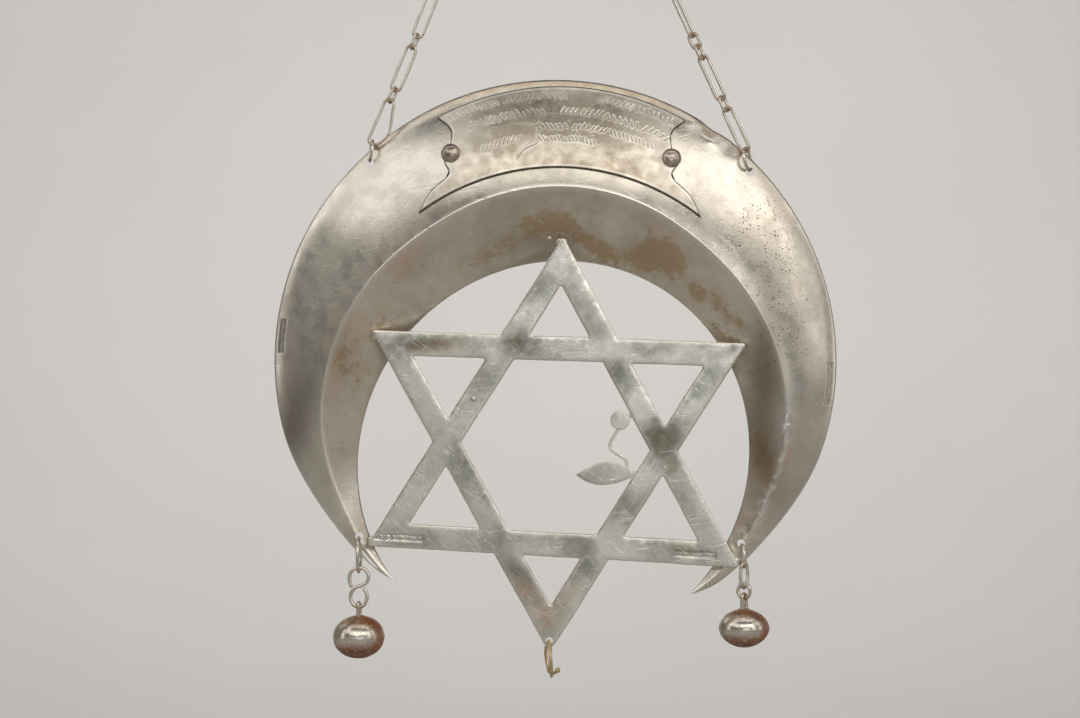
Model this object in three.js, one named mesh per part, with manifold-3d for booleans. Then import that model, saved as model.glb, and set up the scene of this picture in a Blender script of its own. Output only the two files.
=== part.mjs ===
// A hanging Torah shield in silver: a domed crescent with its horns down, a flat six-pointed star
// soldered between the horns, an engraved plate held by two rivets, a wire chain to hang it by,
// and two hollow balls hung from the horns.
// Units are millimetres and degrees. X runs to the viewer's right, Z up, and the front faces -Y.
// The origin is the point where the top ring rests on its hook, and Y = 0 is the chain's plane.

import * as THREE from "three";
import { mergeVertices } from "three/addons/utils/BufferGeometryUtils.js";
import Module from "manifold-3d";

const wasm = await Module();
wasm.setup();

// Where the shield hangs, and how far it leans clockwise on its uneven chain.
const SHIELD_CENTRE_X = 5.6;
const SHIELD_BACK_Y = 2.6;
const SHIELD_CENTRE_Z = -215;
const SHIELD_LEAN = 2.1;

// Crescent, drawn about the centre of its outer edge, with its back edges in the plane Y = 0 of
// its own frame. Angles on it are measured from the top, and grow to the left.
const OUTER_RADIUS = 90.3;
const HORN_PULL = 1.9;
const HORN_PULL_START = 105;
const HORN_PULL_END = 130;
const TIP_PULL = 1.8;
const TIP_PULL_START = 140;
const TIP_PULL_END = 148;
const INNER_CENTRE_X = 0.5;
const INNER_CENTRE_Z = -31.4;
const INNER_LONG_RADIUS = 64.7;
const INNER_SHORT_RADIUS = 61.6;
const INNER_TURN = 52.5;
const LEFT_TIP_ANGLE = 146.3;
const RIGHT_TIP_ANGLE = -147.6;
const TIP_WIDTH = 0.5;
const SHEET = 1;
const BEVEL_SLOPE_SIDE = 0.4;
const BEVEL_SLOPE_TOP = 0.19;
const RIDGE_SHARE_TOP = 0.4;
const RIDGE_SHARE_HORN = 0.11;
const RIDGE_SHARE_LEAN = 0.022;
const RIDGE_HORN_START = 40;
const RIDGE_HORN_SPAN = 70;
const DOME_INNER_POWER = 1.4;
const DOME_OUTER_POWER = 0.8;
const CRESCENT_STATIONS = 52;
const NORMAL_STEP = 0.5;
const DOME_STEPS = [0, 0.25, 0.5, 0.75, 0.92, 1];

// Holes through the crescent, from its centre.
const HANG_HOLE_LEFT = [-61.9, 61.3];
const HANG_HOLE_RIGHT = [60.1, 62.8];
const HANG_HOLE_RADIUS = 1.45;
const HORN_HOLE_LEFT = [-60.8, -58.5];
const HORN_HOLE_RIGHT = [61.6, -56.3];
const HORN_HOLE_RADIUS = 1.3;
const HOLE_SIDES = 10;
const DRILL_LENGTH = 60;
const SEATED_DRILL_LENGTH = 10;

// Engraved plate on the crescent: half of its outline, as angle from its own middle and radius.
const PLATE_MIDDLE_ANGLE = 0.85;
const PLATE_LEAN = 0.45;
const PLATE_SIDE = [
  [44.25, 64.5],
  [37.2, 67.0],
  [31.2, 68.8],
  [30.5, 73.0],
  [27.4, 76.9],
  [25.7, 81.5],
  [27.25, 87.1],
];
const PLATE_TOP_RISE = 0.9;
const PLATE_FOOT_DIP = 3.1;
const PLATE_THICKNESS = 0.9;
const PLATE_COLUMNS = 18;
const SEAT_GAP = 0.3;

// Rivets through the plate and the crescent.
const RIVET_LEFT = [28.9, 73.7];
const RIVET_RIGHT = [-27.6, 74.0];
const RIVET_HEAD_RADIUS = 3.15;
const RIVET_HEAD_HEIGHT = 2.1;
const RIVET_SHANK_RADIUS = 0.95;
const RIVET_TAIL_RADIUS = 1.7;
const RIVET_TAIL_HEIGHT = 0.8;
const RIVET_TAIL_TAPER = 0.8;
const RIVET_SIDES = 12;
const RIVET_HEAD_STEPS = 5;

// Star, a flat plate in a plane that leans forward at the top, from the crescent's centre.
const STAR_PLANE_Y = -5.5;
const STAR_TILT = 2.4;
const STAR_THICKNESS = 1.5;
const STAR_EDGE = 0.2;
const BAR_WIDTH = 7.8;
const STAR_TOP = [0.95, 39.9];
const STAR_UPPER_LEFT = [-59.2, 7.7];
const STAR_UPPER_RIGHT = [60.9, 8.0];
const STAR_LOWER_LEFT = [-58.4, -61.4];
const STAR_LOWER_RIGHT = [61.5, -64.0];
const STAR_BOTTOM = [1.35, -93.8];
const STAR_HOLE_RADIUS = 1.2;
const STAR_NOSE_RADIUS = 2;
const STAR_NOSE_STEPS = 6;
const POINT_HALF_ANGLE = 30;

// What is left of an openwork spray inside the star: a bud, a bent stem and a leaf.
const SPRAY_THICKNESS = 1;
const BUD_CENTRE = [21.3, -18.2];
const BUD_RADIUS = 3.1;
const BUD_ARM = [24.3, -16.7];
const STEM_POINTS = [
  [21.1, -20.5],
  [18.4, -26.9],
  [23.6, -30.9],
  [23.7, -35],
];
const BUD_ARM_WIDTH = 1.6;
const STEM_WIDTH = 1;
const LEAF_TIP = [7.9, -36.2];
const LEAF_HEEL = [25.6, -35.6];
const LEAF_LOWER_BEND = [-2, -6.1];
const LEAF_UPPER_BEND = [3, 8.6];

// Chain. A contact point is where two links meet, so each link spans its inner length. Links
// are turned about the chain by one angle and the other in turn, plus a twist for each link.
const CHAIN_WIRE = 1;
const LONG_LINK_LENGTH = 16.5;
const LONG_LINK_WIDTH = 4.1;
const SMALL_LINK_LENGTH = 6;
const SMALL_LINK_WIDTH = 3.8;
const LINK_SIDES = 6;
const LONG_ARC_STEPS = 4;
const SMALL_ARC_STEPS = 3;
const LEFT_CHAIN = {
  pattern: "LsLsLsLsLsLsLsLs",
  start: [-53.2, -145.1],
  sag: 2.4,
  turns: [-12, 62],
  twist: 1.9,
};
const RIGHT_CHAIN = {
  pattern: "LsLssLsLsLsLsLsLss",
  start: [66.6, -147.4],
  sag: 0.8,
  turns: [-30, 46],
  twist: 2.6,
};
const BENT_LINK_BULGE = 2.4;
const BENT_LINK_SIDE = [
  [-0.65, 0.7],
  [-0.3, 1],
  [0.1, 0.75],
  [0.5, 0.35],
];
const TOP_RING_RADIUS = 5.2;
const TOP_RING_WIRE = 1.3;
const TOP_RING_SEGMENTS = 16;

// Rings through the hanging holes.
const HANGING_RING_WIRE = 1;
const HANGING_RING_REST = 0.55;
const HANGING_RING_Y = 0.3;
const HANGING_RING_LEFT_TURN = -83;
const HANGING_RING_RIGHT_TURN = 70;
const RING_SEGMENTS = 12;
const RING_SIDES = 6;

// Pendants: a hollow ball under each horn, closed, with a wire eye on top, and what it hangs by.
const LEFT_PENDANT_X = -57.5;
const RIGHT_PENDANT_X = 66.1;
const PENDANT_Y = 1.1;
const WIRE_GAP = 0.12;
const LEFT_RING_RADIUS = 5.5;
const LEFT_RING_WIRE = 1.1;
const LEFT_RING_CENTRE_Z = -277.15;
const LEFT_RING_TURN = 88;
const HOOK_WIRE = 1.2;
const HOOK_UPPER_RADIUS = 3.1;
const HOOK_LOWER_RADIUS = 2.8;
const HOOK_SPACING = 6.7;
const HOOK_UPPER_ARC = [215, -50];
const HOOK_LOWER_ARC = [120, 415];
const HOOK_STEPS = 9;
const RIGHT_RING_RADIUS = 3.6;
const RIGHT_RING_WIRE = 1.15;
const RIGHT_RING_CENTRE_Z = -277.55;
const RIGHT_RING_TURN = 82;
const RIGHT_RING_LEAN = -6;
const OVAL_LINK_LENGTH = 9.1;
const OVAL_LINK_WIDTH = 4;
const OVAL_LINK_TURN = 22;
const ROUND_LINK_RADIUS = 2.3;
const ROUND_LINK_TURN = -36;
const LEFT_BALL = { width: 16.6, height: 13.7, eyeRise: 4.7, eyeTurn: 78 };
const RIGHT_BALL = { width: 16.3, height: 12.6, eyeRise: 5.2, eyeTurn: 50 };
const BALL_ROUNDNESS = 2.1;
const BALL_SEAM = 0.15;
const BALL_SIDES = 18;
const BALL_ROWS = 10;
const EYE_WIRE = 1.2;
const EYE_WIDTH = 3.4;
const EYE_SINK = 1.2;

// Open ring in the hole at the star's foot: where its free end swings to and how much of the
// wire does, how far the rear strand bows to the left, and how far the front strand leans right.
const FOOT_RING_RADIUS = 5.8;
const FOOT_RING_WIRE = 1.1;
const FOOT_RING_START = -112;
const FOOT_RING_SWEEP = 355;
const FOOT_RING_FREE_END = [2.6, 2.1];
const FOOT_RING_FREE_SHARE = 0.2;
const FOOT_RING_REAR_BOW = 1.2;
const FOOT_RING_REAR_PLACE = 0.36;
const FOOT_RING_REAR_REACH = 0.14;
const FOOT_RING_FRONT_LEAN = 0.65;
const FOOT_RING_FRONT_START = 0.55;
const FOOT_RING_DROP = 0.1;
const FOOT_RING_SEGMENTS = 18;

const SILVER = { color: 0xb9b3a6, roughness: 0.33, metalness: 1 };
const STAR_SILVER = { color: 0xaeada4, roughness: 0.38, metalness: 1 };
const RIVET_SILVER = { color: 0x77706a, roughness: 0.3, metalness: 1 };
const WARM_SILVER = { color: 0xb59a78, roughness: 0.3, metalness: 1 };

const DEGREE = Math.PI / 180;
const CURVE_SEGMENTS = 6;
const MERGE_DISTANCE = 1e-4;

const shieldRadians = SHIELD_LEAN * DEGREE;

// Moves a point given from the crescent's centre into the whole object's frame.
function fromShield([x, z]) {
  const cos = Math.cos(shieldRadians);
  const sin = Math.sin(shieldRadians);
  return [SHIELD_CENTRE_X + x * cos + z * sin, SHIELD_CENTRE_Z - x * sin + z * cos];
}

function smoothStep(t) {
  const s = Math.min(1, Math.max(0, t));
  return s * s * (3 - 2 * s);
}

// Turns loose triangles or an indexed geometry into a solid that can be joined and cut.
function solidOf(geometry, matrix = new THREE.Matrix4()) {
  const bare = new THREE.BufferGeometry();
  bare.setAttribute("position", geometry.getAttribute("position").clone());
  if (geometry.index) bare.setIndex(geometry.index.clone());
  bare.applyMatrix4(matrix);
  const merged = mergeVertices(bare, MERGE_DISTANCE);
  return new wasm.Manifold(
    new wasm.Mesh({
      numProp: 3,
      vertProperties: new Float32Array(merged.attributes.position.array),
      triVerts: new Uint32Array(merged.index.array),
    }),
  );
}

function geometryOf(solid) {
  const mesh = solid.getMesh();
  const geometry = new THREE.BufferGeometry();
  geometry.setAttribute("position", new THREE.BufferAttribute(mesh.vertProperties, 3));
  geometry.setIndex(new THREE.BufferAttribute(mesh.triVerts, 1));
  geometry.computeVertexNormals();
  return geometry;
}

function namedMesh(name, geometry, finish) {
  geometry.computeVertexNormals();
  const mesh = new THREE.Mesh(geometry, new THREE.MeshStandardMaterial(finish));
  mesh.name = name;
  return mesh;
}

// Joins a row of equal rings of points into one closed surface. Each ring is a list of Vector3,
// and the rings either close on each other or end in flat caps.
function skinRings(rings, closed) {
  const count = rings[0].length;
  const index = [];
  const last = closed ? rings.length : rings.length - 1;
  for (let i = 0; i < last; i++) {
    const a = i * count;
    const b = ((i + 1) % rings.length) * count;
    for (let j = 0; j < count; j++) {
      const k = (j + 1) % count;
      index.push(a + j, b + j, b + k, a + j, b + k, a + k);
    }
  }
  if (!closed) {
    const end = (rings.length - 1) * count;
    for (let j = 1; j < count - 1; j++) {
      index.push(0, j, j + 1);
      index.push(end, end + j + 1, end + j);
    }
  }
  return indexedGeometry(rings.flat(), index);
}

// Closes a sheet from its front and back grids of points, with a wall round its four sides.
// The grids run right to left, and from the inside of the crescent outward.
function skinSheet(front, back) {
  const rows = front[0].length;
  const columns = front.length;
  const at = (i, j) => i * rows + j;
  const behind = (i, j) => columns * rows + i * rows + j;
  const index = [];
  const quad = (a, b, c, d) => index.push(a, b, c, a, c, d);
  for (let i = 0; i < columns - 1; i++) {
    for (let j = 0; j < rows - 1; j++) {
      quad(at(i, j), at(i, j + 1), at(i + 1, j + 1), at(i + 1, j));
      quad(behind(i, j), behind(i + 1, j), behind(i + 1, j + 1), behind(i, j + 1));
    }
    quad(at(i, 0), at(i + 1, 0), behind(i + 1, 0), behind(i, 0));
    quad(at(i, rows - 1), behind(i, rows - 1), behind(i + 1, rows - 1), at(i + 1, rows - 1));
  }
  for (let j = 0; j < rows - 1; j++) {
    quad(at(0, j), behind(0, j), behind(0, j + 1), at(0, j + 1));
    const last = columns - 1;
    quad(at(last, j), at(last, j + 1), behind(last, j + 1), behind(last, j));
  }
  return indexedGeometry([...front.flat(), ...back.flat()], index);
}

function indexedGeometry(points, index) {
  const geometry = new THREE.BufferGeometry();
  const positions = points.flatMap((p) => [p.x, p.y, p.z]);
  geometry.setAttribute("position", new THREE.Float32BufferAttribute(positions, 3));
  geometry.setIndex(index);
  return geometry;
}

// Bends round wire along a path. The path lies in or near the plane square to `across`.
function wireGeometry(path, wire, closed, sides = RING_SIDES, across = new THREE.Vector3(0, 1, 0)) {
  const rings = path.map((point, i) => {
    const before = path[closed ? (i + path.length - 1) % path.length : Math.max(i - 1, 0)];
    const after = path[closed ? (i + 1) % path.length : Math.min(i + 1, path.length - 1)];
    const along = after.clone().sub(before).normalize();
    const side = along.clone().cross(across).normalize();
    const up = side.clone().cross(along).normalize();
    return Array.from({ length: sides }, (_, j) => {
      const turn = (2 * Math.PI * (j + 0.5)) / sides;
      return point
        .clone()
        .addScaledVector(side, (Math.cos(turn) * wire) / 2)
        .addScaledVector(up, (Math.sin(turn) * wire) / 2);
    });
  });
  return skinRings(rings, closed);
}

// A closed loop with straight sides and round ends, standing along Z in the XZ plane. An arc
// with an odd number of steps is stretched, so that its flat top still reaches the full length.
function linkPath(length, width, wire, arcSteps) {
  const radius = (width - wire) / 2;
  const reach = (length - wire) / 2 - radius;
  const top = Math.sin((Math.PI * Math.floor(arcSteps / 2)) / arcSteps);
  const path = [];
  for (const end of [1, -1]) {
    for (let i = 0; i <= arcSteps; i++) {
      const turn = (Math.PI * i) / arcSteps;
      const rise = reach + (radius * Math.sin(turn)) / top;
      path.push(new THREE.Vector3(end * radius * Math.cos(turn), 0, end * rise));
    }
  }
  return path;
}

function linkGeometry(length, width, wire, arcSteps = LONG_ARC_STEPS) {
  return wireGeometry(linkPath(length, width, wire, arcSteps), wire, true, LINK_SIDES);
}

// A round ring in the XZ plane, about its own centre.
function ringGeometry(radius, wire, segments = RING_SEGMENTS) {
  const path = Array.from({ length: segments }, (_, i) => {
    const turn = (2 * Math.PI * i) / segments;
    return new THREE.Vector3(radius * Math.cos(turn), 0, radius * Math.sin(turn));
  });
  return wireGeometry(path, wire, true);
}

// The crescent's outlines and relief, as functions of the angle from its top.
function outerRadius(angle) {
  const horn = (Math.abs(angle) - HORN_PULL_START) / (HORN_PULL_END - HORN_PULL_START);
  const tip = (Math.abs(angle) - TIP_PULL_START) / (TIP_PULL_END - TIP_PULL_START);
  return OUTER_RADIUS - HORN_PULL * smoothStep(horn) - TIP_PULL * Math.max(0, tip) ** 2;
}

function innerRadius(angle) {
  const turn = INNER_TURN * DEGREE;
  const rayX = -Math.sin(angle * DEGREE);
  const rayZ = Math.cos(angle * DEGREE);
  const alongRay = (rayX * Math.cos(turn) + rayZ * Math.sin(turn)) / INNER_LONG_RADIUS;
  const acrossRay = (rayZ * Math.cos(turn) - rayX * Math.sin(turn)) / INNER_SHORT_RADIUS;
  const along = -(INNER_CENTRE_X * Math.cos(turn) + INNER_CENTRE_Z * Math.sin(turn));
  const across = -(INNER_CENTRE_Z * Math.cos(turn) - INNER_CENTRE_X * Math.sin(turn));
  const startAlong = along / INNER_LONG_RADIUS;
  const startAcross = across / INNER_SHORT_RADIUS;
  const a = alongRay ** 2 + acrossRay ** 2;
  const b = alongRay * startAlong + acrossRay * startAcross;
  const c = startAlong ** 2 + startAcross ** 2 - 1;
  return (-b + Math.sqrt(b * b - a * c)) / a;
}

function ridgeShare(angle) {
  const sine = Math.sin(angle * DEGREE);
  const horn = RIDGE_SHARE_HORN * smoothStep((Math.abs(angle) - RIDGE_HORN_START) / RIDGE_HORN_SPAN);
  return RIDGE_SHARE_TOP + horn + RIDGE_SHARE_LEAN * sine ** 3;
}

function crescentSection(angle) {
  const outer = outerRadius(angle);
  const inner = Math.min(innerRadius(angle), outer - TIP_WIDTH);
  const ridge = inner + (outer - inner) * ridgeShare(angle);
  const slope = BEVEL_SLOPE_SIDE + BEVEL_SLOPE_TOP * Math.max(0, Math.cos(angle * DEGREE)) ** 2;
  return { inner, ridge, outer, height: (ridge - inner) * slope };
}

// How far the crescent's front face stands in front of Y = 0.
function frontDepth(angle, radius) {
  const { inner, ridge, outer, height } = crescentSection(angle);
  if (radius <= ridge) {
    return SHEET + (height * Math.max(0, radius - inner)) / (ridge - inner);
  }
  const t = Math.min(1, (radius - ridge) / (outer - ridge));
  return SHEET + height * (1 - t ** DOME_INNER_POWER) ** DOME_OUTER_POWER;
}

function onCrescent(angle, radius, lift) {
  return new THREE.Vector3(
    -radius * Math.sin(angle * DEGREE),
    -frontDepth(angle, radius) - lift,
    radius * Math.cos(angle * DEGREE),
  );
}

// The outward direction of the crescent's front face at a point on it.
function crescentNormal(angle, radius) {
  const step = NORMAL_STEP;
  const out = onCrescent(angle, radius + step, 0).sub(onCrescent(angle, radius - step, 0));
  const round = onCrescent(angle + step, radius, 0).sub(onCrescent(angle - step, radius, 0));
  return out.cross(round).normalize();
}

function pinThrough(x, z, radius) {
  const pin = new THREE.CylinderGeometry(radius, radius, DRILL_LENGTH, HOLE_SIDES);
  return solidOf(pin, new THREE.Matrix4().makeTranslation(x, 0, z));
}

// Places a piece whose axis is Y so that its axis follows the crescent's normal.
function seatMatrix([angle, radius]) {
  const turn = new THREE.Quaternion().setFromUnitVectors(
    new THREE.Vector3(0, -1, 0),
    crescentNormal(angle, radius),
  );
  return new THREE.Matrix4().compose(
    onCrescent(angle, radius, 0),
    turn,
    new THREE.Vector3(1, 1, 1),
  );
}

function rivetHole(place) {
  const radius = RIVET_SHANK_RADIUS + SEAT_GAP;
  const pin = new THREE.CylinderGeometry(radius, radius, SEATED_DRILL_LENGTH, HOLE_SIDES);
  return solidOf(pin, seatMatrix(place));
}

// One open-backed sheet: front face from the inner edge over the ridge to the outer edge, and
// the same face again one sheet thickness behind it.
function makeCrescent() {
  const front = [];
  const back = [];
  for (let i = 0; i <= CRESCENT_STATIONS; i++) {
    const angle = RIGHT_TIP_ANGLE + ((LEFT_TIP_ANGLE - RIGHT_TIP_ANGLE) * i) / CRESCENT_STATIONS;
    const { inner, ridge, outer } = crescentSection(angle);
    const radii = [inner, ...DOME_STEPS.map((t) => ridge + (outer - ridge) * t)];
    front.push(radii.map((radius) => onCrescent(angle, radius, 0)));
    back.push(radii.map((radius) => onCrescent(angle, radius, -SHEET)));
  }
  const cuts = [
    pinThrough(...HANG_HOLE_LEFT, HANG_HOLE_RADIUS),
    pinThrough(...HANG_HOLE_RIGHT, HANG_HOLE_RADIUS),
    pinThrough(...HORN_HOLE_LEFT, HORN_HOLE_RADIUS),
    pinThrough(...HORN_HOLE_RIGHT, HORN_HOLE_RADIUS),
    rivetHole(RIVET_LEFT),
    rivetHole(RIVET_RIGHT),
  ];
  const sheet = solidOf(skinSheet(front, back));
  const drilled = cuts.reduce((solid, cut) => solid.subtract(cut), sheet);
  return namedMesh("crescent", geometryOf(drilled), SILVER);
}

// The engraved plate follows the crescent's face one seat gap in front of it. Its rows run from
// the long curved foot up to the shorter top edge.
function makeCartouchePlate() {
  const rows = PLATE_SIDE.length - 1;
  const onPlate = (row, across, lift) => {
    const [halfAngle, sideRadius] = PLATE_SIDE[row];
    const bow = 1 - across * across;
    const dip = PLATE_FOOT_DIP * (1 - row / rows);
    const rise = (PLATE_TOP_RISE * row) / rows;
    const angle = PLATE_MIDDLE_ANGLE + halfAngle * across;
    const radius = sideRadius + PLATE_LEAN * -across + bow * (rise - dip);
    return onCrescent(angle, radius, lift);
  };
  const columns = Array.from({ length: PLATE_COLUMNS + 1 }, (_, i) => (2 * i) / PLATE_COLUMNS - 1);
  const rowNumbers = PLATE_SIDE.map((_, row) => row);
  const grid = (lift) => columns.map((across) => rowNumbers.map((row) => onPlate(row, across, lift)));
  const plate = solidOf(skinSheet(grid(SEAT_GAP + PLATE_THICKNESS), grid(SEAT_GAP)));
  const drilled = plate.subtract(rivetHole(RIVET_LEFT)).subtract(rivetHole(RIVET_RIGHT));
  return namedMesh("cartouche_plate", geometryOf(drilled), SILVER);
}

// A domed head in front of the plate, a shank through both sheets and a hammered tail behind.
function makeRivet(name, place) {
  const seat = SEAT_GAP + PLATE_THICKNESS + SEAT_GAP;
  const behind = -SHEET - SEAT_GAP;
  const profile = [new THREE.Vector2(0, seat + RIVET_HEAD_HEIGHT)];
  for (let i = 1; i <= RIVET_HEAD_STEPS; i++) {
    const turn = (1 - i / RIVET_HEAD_STEPS) * 90 * DEGREE;
    profile.push(
      new THREE.Vector2(
        RIVET_HEAD_RADIUS * Math.cos(turn),
        seat + RIVET_HEAD_HEIGHT * Math.sin(turn),
      ),
    );
  }
  profile.push(
    new THREE.Vector2(RIVET_SHANK_RADIUS, seat),
    new THREE.Vector2(RIVET_SHANK_RADIUS, behind),
    new THREE.Vector2(RIVET_TAIL_RADIUS, behind),
    new THREE.Vector2(RIVET_TAIL_RADIUS * RIVET_TAIL_TAPER, behind - RIVET_TAIL_HEIGHT),
    new THREE.Vector2(0, behind - RIVET_TAIL_HEIGHT),
  );
  const lathe = new THREE.LatheGeometry(profile.reverse(), RIVET_SIDES);
  const forward = new THREE.Matrix4().makeRotationX(Math.PI);
  const solid = solidOf(lathe, seatMatrix(place).multiply(forward));
  return namedMesh(name, geometryOf(solid), RIVET_SILVER);
}

// Straight lines of the star, each as a point and a direction, moved inward by a distance.
function shiftedLine([ax, az], [bx, bz], inward) {
  const length = Math.hypot(bx - ax, bz - az);
  const dx = (bx - ax) / length;
  const dz = (bz - az) / length;
  return { x: ax - dz * inward, z: az + dx * inward, dx, dz };
}

function crossing(p, q) {
  const determinant = p.dx * q.dz - p.dz * q.dx;
  const t = ((q.x - p.x) * q.dz - (q.z - p.z) * q.dx) / determinant;
  return new THREE.Vector2(p.x + p.dx * t, p.z + p.dz * t);
}

// The star's two triangles, with corners in anticlockwise order.
const UP_TRIANGLE = [STAR_TOP, STAR_LOWER_LEFT, STAR_LOWER_RIGHT];
const DOWN_TRIANGLE = [STAR_BOTTOM, STAR_UPPER_RIGHT, STAR_UPPER_LEFT];

function triangleLines(corners, inward) {
  return corners.map((corner, i) => shiftedLine(corner, corners[(i + 1) % 3], inward));
}

function extrudeFlat(shape, thickness, edge) {
  const geometry = new THREE.ExtrudeGeometry(shape, {
    depth: thickness - 2 * edge,
    bevelEnabled: edge > 0,
    bevelThickness: edge,
    bevelSize: edge,
    bevelOffset: -edge,
    bevelSegments: 1,
    curveSegments: CURVE_SEGMENTS,
  });
  geometry.translate(0, 0, edge);
  return geometry.applyMatrix4(new THREE.Matrix4().makeRotationX(Math.PI / 2));
}

function starShape() {
  const upOuter = triangleLines(UP_TRIANGLE, 0);
  const downOuter = triangleLines(DOWN_TRIANGLE, 0);
  const upInner = triangleLines(UP_TRIANGLE, BAR_WIDTH);
  const downInner = triangleLines(DOWN_TRIANGLE, BAR_WIDTH);
  const [upLeft, upBase, upRight] = upOuter;
  const [downRight, downTop, downLeft] = downOuter;
  const hole = new THREE.Vector2(...footHole());
  const outline = [
    new THREE.Vector2(...STAR_TOP),
    crossing(upLeft, downTop),
    new THREE.Vector2(...STAR_UPPER_LEFT),
    crossing(downLeft, upLeft),
    new THREE.Vector2(...STAR_LOWER_LEFT),
    crossing(upBase, downLeft),
  ];
  for (let i = 0; i <= STAR_NOSE_STEPS; i++) {
    const turn = (210 + (120 * i) / STAR_NOSE_STEPS) * DEGREE;
    const nose = new THREE.Vector2(Math.cos(turn), Math.sin(turn));
    outline.push(nose.multiplyScalar(STAR_NOSE_RADIUS).add(hole));
  }
  outline.push(
    crossing(downRight, upBase),
    new THREE.Vector2(...STAR_LOWER_RIGHT),
    crossing(upRight, downRight),
    new THREE.Vector2(...STAR_UPPER_RIGHT),
    crossing(downTop, upRight),
  );
  const shape = new THREE.Shape(outline);
  const openings = [
    [upInner[0], upInner[2], downOuter[1]],
    [upInner[1], upInner[0], downOuter[2]],
    [upInner[2], upInner[1], downOuter[0]],
    [downInner[0], downInner[2], upOuter[1]],
    [downInner[1], downInner[0], upOuter[2]],
    [downInner[2], downInner[1], upOuter[0]],
  ];
  for (const [a, b, c] of openings) {
    shape.holes.push(new THREE.Path([crossing(a, b), crossing(b, c), crossing(c, a)]));
  }
  const hexagon = [
    [upInner[0], downInner[1]],
    [downInner[1], upInner[2]],
    [upInner[2], downInner[0]],
    [downInner[0], upInner[1]],
    [upInner[1], downInner[2]],
    [downInner[2], upInner[0]],
  ];
  shape.holes.push(new THREE.Path(hexagon.map(([a, b]) => crossing(a, b))));
  const round = new THREE.Path();
  round.absarc(hole.x, hole.y, STAR_HOLE_RADIUS, 0, 2 * Math.PI, true);
  shape.holes.push(round);
  return shape;
}

// The hole at the star's foot is centred where a nose of STAR_NOSE_RADIUS touches both sides.
function footHole() {
  const [x, z] = STAR_BOTTOM;
  const rise = STAR_NOSE_RADIUS / Math.sin(POINT_HALF_ANGLE * DEGREE);
  return [x, z + rise];
}

function makeStar() {
  const solid = solidOf(extrudeFlat(starShape(), STAR_THICKNESS, STAR_EDGE));
  return namedMesh("star", geometryOf(solid), STAR_SILVER);
}

// A flat strip along a list of points, a fixed width across.
function stripShape(points, width) {
  const left = [];
  const right = [];
  points.forEach((point, i) => {
    const before = points[Math.max(i - 1, 0)];
    const after = points[Math.min(i + 1, points.length - 1)];
    const dx = after[0] - before[0];
    const dz = after[1] - before[1];
    const length = Math.hypot(dx, dz);
    const offset = [(-dz / length) * (width / 2), (dx / length) * (width / 2)];
    left.push(new THREE.Vector2(point[0] + offset[0], point[1] + offset[1]));
    right.push(new THREE.Vector2(point[0] - offset[0], point[1] - offset[1]));
  });
  return new THREE.Shape([...right, ...left.reverse()]);
}

function leafShape() {
  const [tipX, tipZ] = LEAF_TIP;
  const [heelX, heelZ] = LEAF_HEEL;
  const middle = (tipX + heelX) / 2;
  const shape = new THREE.Shape();
  shape.moveTo(tipX, tipZ);
  const [lowerShift, lowerBend] = LEAF_LOWER_BEND;
  const [upperShift, upperBend] = LEAF_UPPER_BEND;
  shape.quadraticCurveTo(middle + lowerShift, tipZ + lowerBend, heelX, heelZ);
  shape.quadraticCurveTo(middle + upperShift, heelZ + upperBend, tipX, tipZ);
  return shape;
}

function makeSpray() {
  const bud = new THREE.Shape();
  bud.absarc(...BUD_CENTRE, BUD_RADIUS, 0, 2 * Math.PI, false);
  const pieces = [
    bud,
    stripShape([BUD_CENTRE, BUD_ARM], BUD_ARM_WIDTH),
    stripShape(STEM_POINTS, STEM_WIDTH),
    leafShape(),
  ].map((shape) => solidOf(extrudeFlat(shape, SPRAY_THICKNESS, 0)));
  const joined = pieces.reduce((solid, piece) => solid.add(piece));
  return namedMesh("openwork_spray", geometryOf(joined), STAR_SILVER);
}

// A point on the star's plate, in the shield's frame.
function onStar([x, z], depth) {
  const tilt = STAR_TILT * DEGREE;
  return new THREE.Vector3(
    x,
    STAR_PLANE_Y - z * Math.sin(tilt) - depth * Math.cos(tilt),
    z * Math.cos(tilt) - depth * Math.sin(tilt),
  );
}

// Open ring in the star's foot. Its free end starts in front of the star's plane, to the right
// and raised, and the wire runs under, up behind the star, through the hole and down in front.
function makeFootRing() {
  const hole = onStar(footHole(), STAR_THICKNESS / 2);
  const [x, z] = fromShield([hole.x, hole.z]);
  const [freeOut, freeRise] = FOOT_RING_FREE_END;
  const path = Array.from({ length: FOOT_RING_SEGMENTS + 1 }, (_, i) => {
    const share = i / FOOT_RING_SEGMENTS;
    const turn = (FOOT_RING_START + FOOT_RING_SWEEP * share) * DEGREE;
    const free = 1 - smoothStep(share / FOOT_RING_FREE_SHARE);
    const rear = Math.exp(-(((share - FOOT_RING_REAR_PLACE) / FOOT_RING_REAR_REACH) ** 2));
    const front = smoothStep((share - FOOT_RING_FRONT_START) / (1 - FOOT_RING_FRONT_START));
    return new THREE.Vector3(
      freeOut * free - FOOT_RING_REAR_BOW * rear + FOOT_RING_FRONT_LEAN * front,
      FOOT_RING_RADIUS * Math.cos(turn),
      FOOT_RING_RADIUS * Math.sin(turn) + freeRise * free,
    );
  });
  const across = new THREE.Vector3(1, 0, 0);
  const mesh = namedMesh(
    "foot_ring",
    wireGeometry(path, FOOT_RING_WIRE, false, RING_SIDES, across),
    WARM_SILVER,
  );
  mesh.position.set(x, SHIELD_BACK_Y + hole.y, z - FOOT_RING_RADIUS - FOOT_RING_DROP);
  return mesh;
}

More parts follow.
